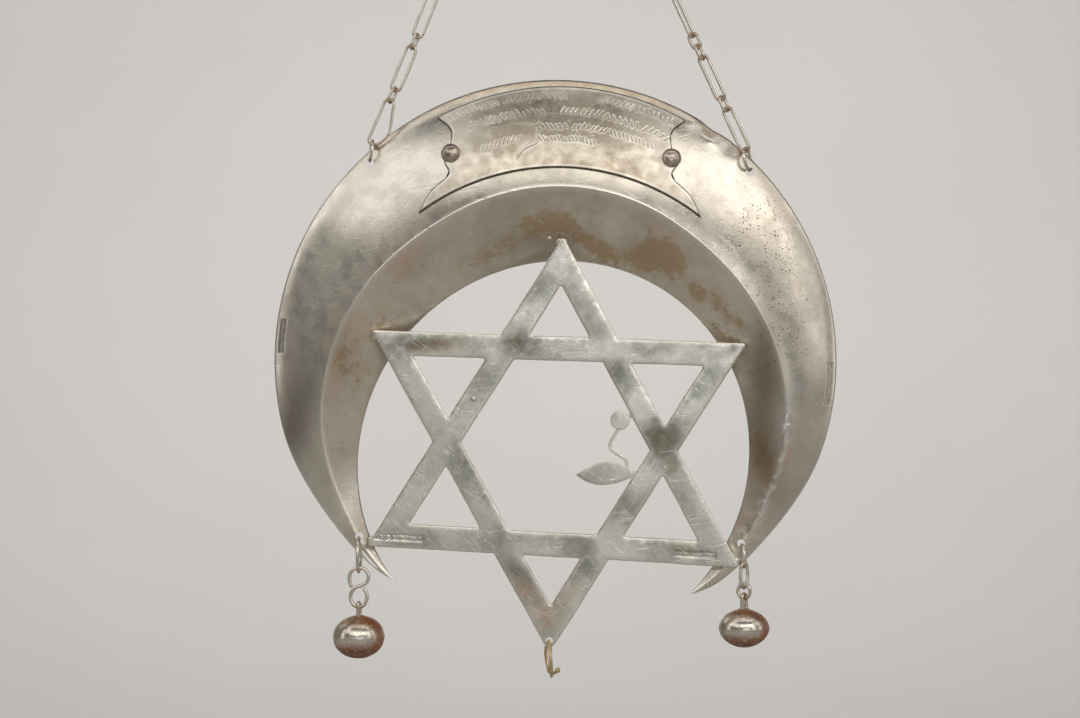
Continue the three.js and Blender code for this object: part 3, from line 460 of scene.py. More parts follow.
@dataclass(frozen=True)
class Finish:
    """Aged silver: soft polish with cloudy tarnish, stains where marks ask for them, and wear, with painted shade,
    painted highlights and painted reflections that the marks also carry.
    """

    name: str
    # The dull colour also paints shade, the stain and blush colours also paint reflections, the grime colour also
    # paints shade and shadow lines, and the worn colour also paints highlights.
    bright: Colour = (0.82, 0.77, 0.68)
    dull: Colour = (0.50, 0.46, 0.39)
    stain_and_reflection: Colour = (0.44, 0.27, 0.08)
    blush: Colour = (0.74, 0.50, 0.38)
    golden: Colour = (0.78, 0.55, 0.30)
    grime_and_shade: Colour = (0.10, 0.075, 0.05)
    worn: Colour = (0.97, 0.93, 0.86)
    cloud_size: float = 22.0
    cloud_amount: float = 0.8
    cloud_rough: float = 0.6
    mottle_amount: float = 0.30
    spot_size: float = 1.3
    spot_amount: float = 0.22
    streaks: Colour = (1.0, 1.0, 10.0)
    streak_amount: float = 0.22
    runs_round: bool = False
    crust: float = 0.0
    film: float = 0.0
    rough_low: float = 0.20
    rough_high: float = 0.36
    scratches: float = 0.7
    bump: float = 0.10

    def material(self) -> bpy.types.Material:
        """The finish's material, made once."""
        known = bpy.data.materials.get(self.name)
        return known or self.build()

    def build(self) -> bpy.types.Material:
        """Lays out colour, roughness and fine relief from noise and the painted marks.

        Returns:
            The new material.
        """
        n = NodeSketch(self.name)
        cloud = n.noise(self.cloud_size, 4.0, self.cloud_rough)
        mottle = n.noise(self.cloud_size / 5, 3.0, 0.48)
        grain = n.noise(0.55, 3.0, 0.6)
        scratch = self.scratch_lines(n)
        dull = n.stretch(cloud, 0.36, 0.66, 0.0, self.cloud_amount)
        dull = n.math("ADD", dull, n.stretch(mottle, 0.42, 0.72, -0.12, self.mottle_amount))
        streak = self.streak_noise(n)
        dull = n.math("ADD", dull, n.stretch(streak, 0.35, 0.68, -self.streak_amount, self.streak_amount))
        # The dull mark adds painted shade to the cloudy tone.
        dull = n.math("ADD", dull, n.mark(Mark.DULL_AND_SHADE.value), True)
        colour = n.mix(dull, self.bright, self.dull)
        patchy = n.stretch(mottle, 0.30, 0.62, 0.45, 1.25)
        spots = n.noise(self.spot_size, 3.0, 0.7)
        crust = n.math("MULTIPLY_ADD", n.noise(self.cloud_size / 9, 8.0, 0.8), 2.8)
        n.fill(crust.node.inputs[2], n.math("SUBTRACT", n.mark(Mark.TARNISH_AND_REFLECTION.value), 1.62))
        crust = n.stretch(crust, 0.40, 0.64, 0.0, self.crust)
        # The tarnish mark brings real stains and painted reflections.
        stain_and_reflection = n.math("MULTIPLY", n.mark(Mark.TARNISH_AND_REFLECTION.value), patchy)
        stain_and_reflection = n.math("ADD", n.math("MULTIPLY", stain_and_reflection, 0.7), crust)
        stain_and_reflection = n.math("ADD", stain_and_reflection, n.stretch(spots, 0.64, 0.80, 0.0, self.spot_amount), True)
        colour = n.mix(stain_and_reflection, colour, self.stain_and_reflection)
        film = stain_and_reflection
        # The blush mark brings a copper tint and painted reflections; the golden mark brings a warm band.
        for mark, tint in ((Mark.BLUSH_AND_REFLECTION, self.blush), (Mark.GOLDEN, self.golden)):
            share = n.math("MULTIPLY", n.mark(mark.value), patchy, True)
            colour = n.mix(share, colour, tint)
            film = n.math("MAXIMUM", film, share)
        # The bright mark paints highlights, worn edges and scratches in the worn colour.
        bright = n.math("MAXIMUM", n.mark(Mark.WEAR_AND_HIGHLIGHT.value), n.math("MULTIPLY", scratch, 0.5))
        colour = n.mix(bright, colour, self.worn)
        pits = self.pits(n)
        # The groove mark paints shade and shadow lines, with grime in cuts and pits.
        grime_and_shade = n.math("MAXIMUM", n.mark(Mark.GROOVE_AND_SHADE.value), pits, True)
        colour = n.mix(grime_and_shade, colour, self.grime_and_shade)
        uneven = n.math("ADD", n.math("MULTIPLY", mottle, 0.75), n.math("MULTIPLY", streak, 0.25))
        rough = n.stretch(uneven, 0.30, 0.70, self.rough_low, self.rough_high)
        rough = n.math("ADD", rough, n.math("MULTIPLY", stain_and_reflection, 0.16))
        rough = n.math("ADD", rough, n.math("MULTIPLY", grime_and_shade, 0.3))
        rough = n.math("SUBTRACT", rough, n.math("MULTIPLY", bright, 0.05), True)
        height = n.math("ADD", n.math("MULTIPLY", grain, 0.35), n.math("MULTIPLY", mottle, 0.5))
        height = n.math("SUBTRACT", height, n.math("MULTIPLY", scratch, 0.8))
        height = n.math("SUBTRACT", height, n.math("MULTIPLY", pits, 1.5))
        bump = n.node("ShaderNodeBump", Strength=self.bump, Distance=0.4 * MM, Height=height)
        shader = n.node(
            "ShaderNodeBsdfPrincipled",
            Base_Color=colour,
            Metallic=n.math("SUBTRACT", 1.0, n.math("MULTIPLY", film, self.film), True),
            Roughness=rough,
            Normal=bump.outputs[0],
        )
        output = n.tree.nodes.new("ShaderNodeOutputMaterial")
        n.tree.links.new(shader.outputs[0], output.inputs["Surface"])
        return n.material

    def streak_noise(self, n: NodeSketch) -> bpy.types.NodeSocket:
        """Soft polishing streaks, along the piece's painted run where it has one."""
        if not self.runs_round:
            return n.noise(2.2, 3.0, 0.6, n.turned((0.0, 0.0, 0.0), self.streaks))
        run = n.math("MULTIPLY", n.mark(Mark.AROUND.value), 0.06)
        place = n.node("ShaderNodeCombineXYZ", X=run, Y=n.mark(Mark.OUT.value)).outputs[0]
        return n.node("ShaderNodeTexNoise", Vector=place, Scale=0.5, Detail=4.0, Roughness=0.6).outputs["Fac"]

    def scratch_lines(self, n: NodeSketch) -> bpy.types.NodeSocket:
        """Fine straight scratches in three directions: thin peaks of long stretched noise."""
        total = None
        for turn, size in (((0.0, 34.0, 0.0), 0.8), ((0.0, -52.0, 8.0), 0.6), ((4.0, 81.0, 0.0), 1.0)):
            place = n.turned(turn, (1.0, 1.0, 16.0))
            line = n.stretch(n.noise(size, 1.0, 0.4, place), 0.66, 0.71, 0.0, self.scratches)
            total = line if total is None else n.math("MAXIMUM", total, line)
        return total

    def pits(self, n: NodeSketch) -> bpy.types.NodeSocket:
        """Corrosion pits: the middles of random wobbled cells, where the pits mark allows.

        Args:
            n: The material being laid out.

        Returns:
            1 inside a pit and 0 outside.
        """
        wobble = n.node("ShaderNodeTexNoise", Vector=n.place, Scale=1.0 / (0.7 * MM), Detail=2.0)
        shifted = n.node("ShaderNodeVectorMath", {"operation": "MULTIPLY_ADD"})
        for socket, value in zip(shifted.inputs, (wobble.outputs["Color"], (0.6 * MM,) * 3, n.place)):
            n.fill(socket, value)
        total = None
        for size in (1.15, 0.70):
            cells = n.node("ShaderNodeTexVoronoi", Vector=shifted.outputs[0], Scale=1.0 / (size * MM))
            round_pit = n.stretch(cells.outputs["Distance"], 0.13, 0.31, 1.0, 0.0)
            chosen = n.node("ShaderNodeSeparateColor", Color=cells.outputs["Color"]).outputs[0]
            chance = n.stretch(n.math("SUBTRACT", n.mark(Mark.PITS.value), chosen), 0.0, 0.10)
            pit = n.math("MULTIPLY", round_pit, chance)
            total = pit if total is None else n.math("MAXIMUM", total, pit)
        return total


SHEET_FINISH = Finish(
    "aged_silver_sheet",
    cloud_amount=0.70,
    cloud_rough=0.48,
    mottle_amount=0.12,
    streak_amount=0.08,
    runs_round=True,
    crust=0.7,
    film=0.12,
    rough_low=0.22,
    rough_high=0.34,
)
PLATE_FINISH = Finish(
    "engraved_plate_silver",
    bright=(0.84, 0.78, 0.68),
    dull=(0.52, 0.47, 0.40),
    cloud_size=16.0,
    streaks=(8.0, 1.0, 1.0),
    streak_amount=0.16,
    rough_low=0.28,
    rough_high=0.42,
)
STAR_FINISH = Finish(
    "star_plate_silver",
    bright=(0.90, 0.88, 0.81),
    dull=(0.40, 0.41, 0.36),
    stain_and_reflection=(0.27, 0.21, 0.14),
    cloud_size=15.0,
    cloud_amount=0.8,
    cloud_rough=0.42,
    mottle_amount=0.10,
    spot_amount=0.08,
    streaks=(2.5, 1.0, 2.5),
    streak_amount=0.10,
    rough_low=0.22,
    rough_high=0.36,
    scratches=0.9,
)
RIVET_FINISH = Finish(
    "dark_rivet_silver",
    bright=(0.66, 0.60, 0.56),
    dull=(0.36, 0.32, 0.30),
    cloud_size=4.0,
    streak_amount=0.0,
    rough_low=0.20,
    rough_high=0.32,
    bump=0.05,
)
WIRE_FINISH = Finish(
    "drawn_silver_wire",
    bright=(0.95, 0.91, 0.84),
    dull=(0.78, 0.70, 0.60),
    stain_and_reflection=(0.52, 0.34, 0.20),
    cloud_size=7.0,
    cloud_amount=0.6,
    mottle_amount=0.1,
    spot_amount=0.0,
    streak_amount=0.0,
    rough_low=0.16,
    rough_high=0.24,
    scratches=0.1,
    bump=0.02,
)
# The blush colour paints an orange-red reflection on the balls.
BALL_FINISH = Finish(
    "warm_ball_silver",
    bright=(0.84, 0.77, 0.68),
    dull=(0.54, 0.44, 0.34),
    stain_and_reflection=(0.32, 0.17, 0.08),
    blush=(0.44, 0.13, 0.03),
    cloud_size=5.0,
    spot_amount=0.6,
    streak_amount=0.0,
    crust=0.3,
    film=0.42,
    rough_low=0.15,
    rough_high=0.26,
)
GOLD_FINISH = Finish(
    "golden_wire",
    bright=(0.93, 0.78, 0.50),
    dull=(0.72, 0.50, 0.24),
    cloud_size=6.0,
    mottle_amount=0.1,
    spot_amount=0.0,
    streak_amount=0.0,
    rough_low=0.16,
    rough_high=0.26,
    scratches=0.1,
    bump=0.02,
)


@dataclass
class ShieldPlace:
    """Where the shield's own frame stands: its centre, and its clockwise lean in degrees."""

    x: float = 5.6
    back_y: float = 2.6
    z: float = -215.0
    lean: float = 2.1

    def world(self, points: np.ndarray) -> np.ndarray:
        """Moves points of the shield's own frame into the frame."""
        return turned_y(points, self.lean) + np.array([self.x, self.back_y, self.z])


def outward(surface: Surface) -> Surface:
    """Turns every face round where the surface's signed volume, the sum of a.(b x c) / 6, is negative."""
    total = 0.0
    for group in surface.faces:
        corners = surface.points[group]
        for k in range(1, group.shape[1] - 1):
            cross = np.cross(corners[:, k], corners[:, k + 1])
            total += float(np.einsum("ij,ij->", corners[:, 0], cross))
    if total >= 0:
        return surface
    return Surface(surface.points, [group[:, ::-1] for group in surface.faces], surface.marks)


@dataclass
class Spot:
    """A soft patch of a mark, at a place seen from the front, with its two half sizes and turn."""

    x: float
    z: float
    wide: float
    high: float
    strength: float
    turn: float = 0.0

    def over(self, points: np.ndarray) -> np.ndarray:
        """Strength times e to the minus squared distance, with each axis over its half size."""
        c, s = math.cos(math.radians(self.turn)), math.sin(math.radians(self.turn))
        dx, dz = points[..., 0] - self.x, points[..., 2] - self.z
        along, across = dx * c + dz * s, dz * c - dx * s
        return self.strength * np.exp(-((along / self.wide) ** 2) - (across / self.high) ** 2)


def painted(points: np.ndarray, spots: tuple[Spot, ...], base: float = 0.0) -> np.ndarray:
    """Adds patches over a base value and keeps the sum between 0 and 1."""
    total = np.full(points.shape[:-1], base)
    for spot in spots:
        total = total + spot.over(points)
    return np.clip(total, 0.0, 1.0)


@dataclass
class Hump:
    """A low rise or dip in the crescent's face: its angle, radius, half sizes and height."""

    angle: float
    radius: float
    around: float
    out: float
    height: float

    def over(self, angle: np.ndarray, radius: np.ndarray) -> np.ndarray:
        """Height times the bells of the distances round and out, in millimetres."""
        run = np.radians(angle - self.angle) * self.radius
        return self.height * bell(run, self.around) * bell(radius - self.radius, self.out)


def tick_strokes(first: float, last: float, level: float, tall: float, seed: int) -> np.ndarray:
    """A run of worn engraver's cuts: parallel slants of uneven height, like a rope border.

    The cuts follow each other at nearly even steps. Every cut leans the same way by the same
    share of its height, which a seeded number makes taller or shorter.

    Args:
        first: Where the run starts, along it.
        last: Where it ends.
        level: Height of its foot line.
        tall: Height of a full cut.
        seed: Picks the unevenness and the way the cuts lean.

    Returns:
        One row a stroke, as both ends' places.
    """
    rng = np.random.default_rng(seed)
    count = max(3, int((last - first) / (0.56 * tall)))
    at = np.linspace(first, last, count) + rng.uniform(-0.05, 0.05, count) * tall
    lean = 0.55 if seed % 2 else -0.55
    foot = level + rng.uniform(0.0, 0.25, count) * tall
    height = rng.uniform(0.5, 0.8, count) * tall
    return np.stack([at, foot, at + lean * height, foot + height], axis=-1)


@dataclass
class Crescent:
    """The domed sheet crescent with its rolled rim, its ridge, its holes and two stamped bars."""

    place: ShieldPlace
    outer_radius: float = 90.3
    horn_pull: tuple[float, float, float] = (1.9, 105.0, 130.0)
    tip_pull: tuple[float, float, float] = (1.8, 140.0, 148.0)
    inner_centre: tuple[float, float] = (0.5, -31.4)
    inner_radii: tuple[float, float] = (64.7, 61.6)
    inner_turn: float = 52.5
    tips: tuple[float, float] = (-147.6, 146.3)
    tip_width: float = 0.5
    sheet: float = 1.0
    side_slope: float = 0.4
    top_slope: float = 0.19
    ridge_share: tuple[float, float, float] = (0.4, 0.11, 0.022)
    dome_powers: tuple[float, float] = (1.4, 0.8)
    edge: float = 0.42
    ridge_round: float = 0.42
    ridge_bead: tuple[float, float] = (0.15, 0.24)
    column_step: float = 0.5
    fine_step: float = 0.14
    fine_zones: tuple[tuple[float, float], ...] = ((-98.5, -86.5), (-44.0, -24.0), (82.0, 92.0))
    hang_holes: tuple[tuple[float, float], ...] = ((-61.9, 61.3), (60.1, 62.8))
    horn_holes: tuple[tuple[float, float], ...] = ((-60.8, -58.5), (61.6, -56.3))
    hang_hole_radius: float = 1.45
    horn_hole_radius: float = 1.3
    humps: tuple[Hump, ...] = (
        Hump(-31.5, 88.8, 2.6, 2.0, -0.50),
        Hump(-27.6, 88.3, 2.2, 1.9, 0.28),
        Hump(-33.8, 86.2, 2.4, 1.2, 0.30),
        Hump(-36.5, 87.8, 2.2, 2.2, -0.24),
        Hump(-40.5, 87.0, 2.2, 3.0, 0.16),
        Hump(-43.5, 85.5, 2.8, 3.5, -0.14),
        Hump(98.0, 84.0, 6.0, 5.0, -0.12),
        Hump(60.0, 80.0, 9.0, 7.0, 0.16),
        Hump(-70.0, 82.0, 9.0, 6.0, -0.14),
    )

    def outlines(self, angle: np.ndarray) -> tuple[np.ndarray, ...]:
        """Inner edge, ridge, outer edge and dome height at each angle.

        The outer edge is a circle pulled in by a smooth step at the horns and by a square at the
        tips. The inner edge is where the ray from the centre meets a turned ellipse. The ridge
        stands at a share of the way out, and the dome's height is the bevel's width times its
        slope.

        Args:
            angle: Degrees from the top.

        Returns:
            Four arrays.
        """
        pull, start, end = self.horn_pull
        tip, tip_start, tip_end = self.tip_pull
        size = np.abs(angle)
        outer = self.outer_radius - pull * smooth_step((size - start) / (end - start))
        outer = outer - tip * np.maximum(0.0, (size - tip_start) / (tip_end - tip_start)) ** 2
        turn = math.radians(self.inner_turn)
        c, s = math.cos(turn), math.sin(turn)
        long, short = self.inner_radii
        rad = np.radians(angle)
        ray_x, ray_z = -np.sin(rad), np.cos(rad)
        p = np.stack([(ray_x * c + ray_z * s) / long, (ray_z * c - ray_x * s) / short])
        x, z = self.inner_centre
        q = np.array([-(x * c + z * s) / long, -(z * c - x * s) / short])
        a, b, d = (p**2).sum(axis=0), p[0] * q[0] + p[1] * q[1], (q**2).sum() - 1
        inner = np.minimum((-b + np.sqrt(b * b - a * d)) / a, outer - self.tip_width)
        top, horn, lean = self.ridge_share
        share = top + horn * smooth_step((size - 40) / 70) + lean * np.sin(rad) ** 3
        ridge = inner + (outer - inner) * share
        slope = self.side_slope + self.top_slope * np.maximum(0.0, np.cos(rad)) ** 2
        return inner, ridge, outer, (ridge - inner) * slope

    def depth(self, angle: np.ndarray, radius: np.ndarray) -> np.ndarray:
        """How far the face stands forward: a straight bevel, then height (1 - t^p)^q outwards."""
        inner, ridge, outer, height = self.outlines(angle)
        p, q = self.dome_powers
        rise = np.clip((radius - inner) / (ridge - inner), 0.0, 1.0)
        t = np.clip((radius - ridge) / (outer - ridge), 0.0, 1.0)
        face = np.where(radius <= ridge, rise, (1.0 - t**p) ** q)
        return self.sheet + height * face

    def on_face(self, angle: np.ndarray, radius: np.ndarray, lift=0.0) -> np.ndarray:
        """Points on the plain face in the shield's own frame, lifted off it towards the viewer."""
        rad = np.radians(angle)
        return np.stack(
            [-radius * np.sin(rad), -self.depth(angle, radius) - lift, radius * np.cos(rad)], axis=-1
        )

    def normal(self, angle: float, radius: float) -> np.ndarray:
        """The face's outward direction, from the cross product of two short steps on it."""
        a, r = np.array([angle]), np.array([radius])
        out = self.on_face(a, r + 0.5) - self.on_face(a, r - 0.5)
        around = self.on_face(a + 0.5, r) - self.on_face(a - 0.5, r)
        return unit(np.cross(out, around))[0]

    def columns(self) -> np.ndarray:
        """Angles of the columns: even steps, with finer ones where stamps and dents are."""
        first, last = self.tips
        plain = np.linspace(first, last, int((last - first) / self.column_step) + 1)
        for low, high in self.fine_zones:
            plain = plain[(plain < low) | (plain > high)]
        fine = [np.arange(low + 0.02, high, self.fine_step) for low, high in self.fine_zones]
        return np.sort(np.concatenate([plain, *fine]))

    def relief(self, angle: np.ndarray, radius: np.ndarray, edges: tuple[np.ndarray, ...]) -> np.ndarray:
        """Small departures of the real face from the plain one.

        Hammer waves are two sizes of lattice noise that fade at the edges. The ridge is rounded by
        k (w - |d|)^2 / 4w within w of it. Humps make the crumpled rim. Solder lumps follow the
        right ridge, and the right horn is pitted and lumpy. Two stamped bars are sunk near the
        rim, with low slants left standing in them.

        Args:
            angle: Degrees from the top.
            radius: Distances from the centre.
            edges: The inner edge, ridge and outer edge at each angle.

        Returns:
            Heights towards the viewer.
        """
        inner, ridge, outer = edges
        flat = np.stack([-radius * np.sin(np.radians(angle)), radius * np.cos(np.radians(angle)), 0 * radius], -1)
        fade = smooth_step((outer - radius) / 3.5) * smooth_step((radius - inner) / 3.0)
        height = fade * (0.11 * lattice_noise(flat, 23.0, 3) + 0.035 * lattice_noise(flat, 8.5, 5))
        for hump in self.humps:
            height = height + hump.over(angle, radius)
        away = np.abs(radius - ridge)
        lumps = smooth_step((-angle - 97) / 6) * smooth_step((128 + angle) / 5)
        height = height + lumps * bell(away, 1.3) * (0.20 + 0.30 * lattice_noise(flat, 1.3, 8))
        horn = smooth_step((-angle - 122) / 8)
        height = height + horn * fade * 0.16 * lattice_noise(flat, 2.8, 9)
        return height + self.stamps(angle, radius)

    def stamps(self, angle: np.ndarray, radius: np.ndarray) -> np.ndarray:
        """Both sunk bars together."""
        bars = ((83.3, 90.6, 21), (-97.4, -88.2, 22))
        return sum(self.stamp(angle, radius, *bar) for bar in bars)

    def stamp(self, angle: np.ndarray, radius: np.ndarray, low: float, high: float, seed: int) -> np.ndarray:
        """A bar sunk 0.24 mm between two angles near the rim, with slants that stand in it."""
        middle, half, level = math.radians((low + high) / 2), 1.05, 88.0
        run = (np.radians(angle) - middle) * level
        reach = math.radians(high - low) / 2 * level
        inside = smooth_step((reach - np.abs(run)) / 0.35) * smooth_step((half - np.abs(radius - level)) / 0.35)
        cuts = tick_strokes(-reach + 0.6, reach - 0.6, level - 0.6, 1.2, seed)
        near = distance_to_strokes(np.stack([run, radius], -1), cuts)
        return inside * (-0.24 + 0.2 * bell(near, 0.2))

    def surface(self) -> Surface:
        """The sheet's closed surface with its painted marks.

        Each column is a closed section: the face from the inner edge over the ridge to the rim,
        then the back at wider steps. Within `edge` of both edges the sheet's half thickness is
        shrunk by the square root of 1 - (1 - d)^2, which rounds it.

        Returns:
            The surface, in the frame.
        """
        angle = self.columns()
        inner, ridge, outer, height = self.outlines(angle)
        inside, outside = ridge - inner, outer - ridge
        lip = np.minimum(self.edge, 0.3 * inside)
        rim = np.minimum(self.edge, 0.3 * outside)
        soft = np.minimum(self.ridge_round, np.minimum(0.3 * inside, 0.3 * outside))
        ease = np.array([0.0, 0.06, 0.22, 0.5, 1.0])
        u = np.linspace(0.0, 1.0, 14)[1:-1]
        v = (1.0 - (1.0 - np.linspace(0.0, 1.0, 52)[1:-1]) ** 1.3)
        column = lambda start, span, steps: start[:, None] + span[:, None] * steps[None]
        rows = np.concatenate(
            [
                column(inner, lip, ease),
                column(inner + lip, inside - lip - soft, u),
                column(ridge, soft, np.linspace(-1.0, 1.0, 9)),
                column(ridge + soft, outside - soft - rim, v),
                column(outer, -rim, ease[::-1]),
            ],
            axis=1,
        )
        turn = np.broadcast_to(angle[:, None], rows.shape)
        edges = tuple(np.broadcast_to(e[:, None], rows.shape) for e in (inner, ridge, outer))
        near_edge = np.minimum((rows - edges[0]) / lip[:, None], (edges[2] - rows) / rim[:, None])
        full = np.sqrt(np.clip(1.0 - (1.0 - np.clip(near_edge, 0.0, 1.0)) ** 2, 0.0, 1.0))
        kink = (height / inside)[:, None]
        width = soft[:, None]
        rounding = kink * np.maximum(0.0, width - np.abs(rows - edges[1])) ** 2 / (4 * width)
        bead, bead_width = self.ridge_bead
        sized = np.minimum(1.0, inside / 6.0)[:, None]
        relief = self.relief(turn, rows, edges) - rounding + sized * bead * bell(rows - edges[1], bead_width)
        middle = self.depth(turn, rows) - self.sheet / 2 + relief
        rad = np.radians(turn)
        x, z = -rows * np.sin(rad), rows * np.cos(rad)
        pull_in = 0.55 * bell(np.radians(turn + 32.0) * 90.0, 3.4) * bell(edges[2] - rows, 2.5)
        x, z = x + pull_in * np.sin(rad), z - pull_in * np.cos(rad)
        half = self.sheet / 2 * full
        front = np.stack([x, -middle - half, z], axis=-1)
        kept = np.r_[2:5, 8 : rows.shape[1] - 5 : 3, rows.shape[1] - 4 : rows.shape[1] - 1]
        back = np.stack([x, -middle + half, z], axis=-1)
        made = sheet_shell(self.place.world(front), self.place.world(back), kept)
        return self.painted_surface(outward(made), turn, rows, edges, kept)

    def painted_surface(
        self,
        made: Surface,
        turn: np.ndarray,
        rows: np.ndarray,
        edges: tuple[np.ndarray, ...],
        kept: np.ndarray,
    ) -> Surface:
        """Adds the marks for stains, warm bands and pits, with painted shade, painted reflections, and painted
        highlight lines along the ridge, the rim, the stamps' edges and the solder seam.

        Args:
            made: The bare surface.
            turn: Angle of each front point.
            rows: Radius of each front point.
            edges: The inner edge, ridge and outer edge at each front point.
            kept: Which front rows the back points stand behind.

        Returns:
            The surface with its marks.
        """
        both = np.r_[np.arange(rows.shape[1]), kept[::-1]]
        flat = lambda values: values[:, both].ravel()
        angle, radius = flat(turn), flat(rows)
        ridge, outer = flat(edges[1]), flat(edges[2])
        front = np.tile(np.arange(len(both)) < rows.shape[1], len(rows)).astype(float)
        bevel = smooth_step((ridge - radius) / 1.2)
        points = made.points
        rim_band = smooth_step((radius - outer + 2.1) / 0.5) * bell(angle, 33.0)
        sunk = -self.stamps(angle, radius) / 0.24
        seam = smooth_step((-angle - 97) / 6) * smooth_step((128 + angle) / 5) * bell(radius - ridge, 1.1)
        made.marks = {
            # Stains, with painted reflections on the bevel; the back and the bevel are browner.
            Mark.TARNISH_AND_REFLECTION.value: front * painted(points, CRESCENT_STAINS_AND_PAINTED_REFLECTIONS) + 0.35 * (1 - front) + 0.26 * bevel * front,
            # Copper-pink patches, partly painted reflections and painted highlights.
            Mark.BLUSH_AND_REFLECTION.value: front * painted(points, CRESCENT_BLUSH_AND_PAINTED_REFLECTIONS),
            Mark.AROUND.value: np.radians(angle) * self.outer_radius,
            Mark.OUT.value: radius,
            # Painted shade.
            Mark.DULL_AND_SHADE.value: front * painted(points, CRESCENT_PAINTED_SHADE),
            Mark.GOLDEN.value: front * np.clip(0.85 * rim_band, 0.0, 1.0),
            Mark.PITS.value: front * painted(points, CRESCENT_PITS),
            # Dark inside the sunk stamps, and painted shade spots.
            Mark.GROOVE_AND_SHADE.value: front * np.clip(0.55 * sunk + painted(points, CRESCENT_PAINTED_DARK_SHADE), 0.0, 1.0),
            # Painted highlight lines along the ridge, the rim, the stamps' edges and the solder seam, and painted
            # highlight spots.
            Mark.WEAR_AND_HIGHLIGHT.value: front
            * np.clip(
                0.9 * bell(radius - ridge, 0.45)
                + 0.9 * bell(outer - radius - 0.2, 0.4)
                + 1.0 * bell(sunk - 0.4, 0.35)
                + 0.7 * seam
                + painted(points, CRESCENT_PAINTED_HIGHLIGHTS),
                0.0,
                1.0,
            ),
        }
        return made

    def cutters(self) -> bpy.types.Object:
        """One mesh of round pins at the four holes and a thin blade at the split left horn."""
        pin_profile = lambda radius: np.array([[1e-3, 40.0], [radius, 40.0], [radius, -40.0], [1e-3, -40.0]])
        parts = []
        for holes, radius in ((self.hang_holes, self.hang_hole_radius), (self.horn_holes, self.horn_hole_radius)):
            for x, z in holes:
                pin = lathe(pin_profile(radius), 40)
                pin.points = pin.points[:, [0, 2, 1]] + np.array([x, 0.0, z])
                parts.append(outward(pin))
        line = through_points(np.array([[-60.9, -61.6], [-58.9, -64.4], [-56.7, -66.8], [-54.6, -68.6]]), (), 8)
        share = np.linspace(0.0, 1.0, len(line))
        half = 0.38 * np.sin(np.pi * np.clip(share * 0.93 + 0.05, 0, 1)) ** 0.5 + 0.03
        along = unit(np.gradient(line, axis=0))
        side = np.stack([-along[:, 1], along[:, 0]], axis=-1) * half[:, None]
        box = []
        for y, sign in ((-30.0, 1), (-30.0, -1), (30.0, -1), (30.0, 1)):
            edge = line + sign * side
            box.append(np.stack([edge[:, 0], np.full(len(line), y), edge[:, 1]], axis=-1))
        parts.append(outward(swept(np.stack(box, axis=1), False)))
        joined = parts[0]
        for part in parts[1:]:
            joined = joined.joined(part)
        mesh = bpy.data.meshes.new("crescent_cutters")
        faces = [face for group in joined.faces for face in group.tolist()]
        mesh.from_pydata((self.place.world(joined.points) * MM).tolist(), [], faces)
        cutter = bpy.data.objects.new("crescent_cutters", mesh)
        bpy.context.scene.collection.objects.link(cutter)
        return cutter

    def build(self) -> None:
        """Makes the crescent and cuts its holes."""
        piece = make_piece("crescent_sheet", self.surface(), SHEET_FINISH, Slot.SHEET, ("crescent",), 55.0)
        cutter = self.cutters()
        cut = piece.modifiers.new("holes", "BOOLEAN")
        cut.object = cutter
        cut.operation = "DIFFERENCE"
        cut.solver = "EXACT"
        view = bpy.context.evaluated_depsgraph_get()
        drilled = bpy.data.meshes.new_from_object(piece.evaluated_get(view), depsgraph=view)
        piece.modifiers.clear()
        old = piece.data
        piece.data = drilled
        bpy.data.meshes.remove(old)
        bpy.data.objects.remove(cutter)
        drilled.set_sharp_from_angle(angle=math.radians(50.0))
        log.info("crescent_sheet drilled: %d faces", len(drilled.polygons))


# Brown stains, with painted reflection bands fanning from the star's tips over the bevel and darker brown painted
# reflection on the side bevels.
CRESCENT_STAINS_AND_PAINTED_REFLECTIONS = (
    Spot(4.0, -171.0, 14.0, 4.0, 0.70, 0.0),
    Spot(-14.0, -180.0, 12.0, 2.5, 0.50, 25.0),
    Spot(17.0, -178.5, 9.0, 1.8, 0.80, -35.0),
    Spot(34.0, -182.5, 5.0, 3.5, 0.80, -35.0),
    Spot(41.0, -181.5, 9.0, 4.5, 1.0, -45.0),
    Spot(24.0, -180.0, 9.0, 2.2, 0.6, -28.0),
    Spot(51.0, -193.5, 3.0, 2.4, 0.8, -45.0),
    Spot(57.5, -196.0, 3.0, 5.0, 0.50, 30.0),
    Spot(63.5, -202.5, 5.5, 1.6, 0.60, -35.0),
    Spot(60.0, -207.5, 8.0, 1.3, 0.70, -42.0),
    Spot(73.0, -222.0, 4.5, 15.0, 0.15, 0.0),
    Spot(72.5, -247.0, 5.0, 12.0, 0.70, 12.0),
    Spot(-62.5, -213.0, 5.0, 12.0, 0.50, 0.0),
    Spot(-38.0, -182.0, 15.0, 5.0, 0.30, 42.0),
    Spot(72.5, -219.0, 5.0, 12.0, 0.25, 0.0),
    Spot(-80.0, -196.0, 3.0, 9.0, 0.14, -8.0),
    Spot(-50.0, -205.0, 7.0, 5.0, 0.5, 50.0),
    Spot(-54.5, -222.0, 3.0, 6.0, 0.4, 0.0),
    Spot(-80.0, -222.0, 3.0, 10.0, 0.12, 0.0),
)
# Painted shade: darker patches on the lower left, the right bevel and the top.
CRESCENT_PAINTED_SHADE = (
    Spot(-77.0, -238.0, 8.0, 18.0, 0.50, -15.0),
    Spot(-79.0, -215.0, 8.0, 12.0, 0.20, 0.0),
    Spot(72.0, -225.0, 5.0, 18.0, 0.35, 0.0),
    Spot(72.0, -250.0, 5.0, 12.0, 0.30, 0.0),
    Spot(5.0, -151.0, 26.0, 8.0, 0.30, 0.0),
)
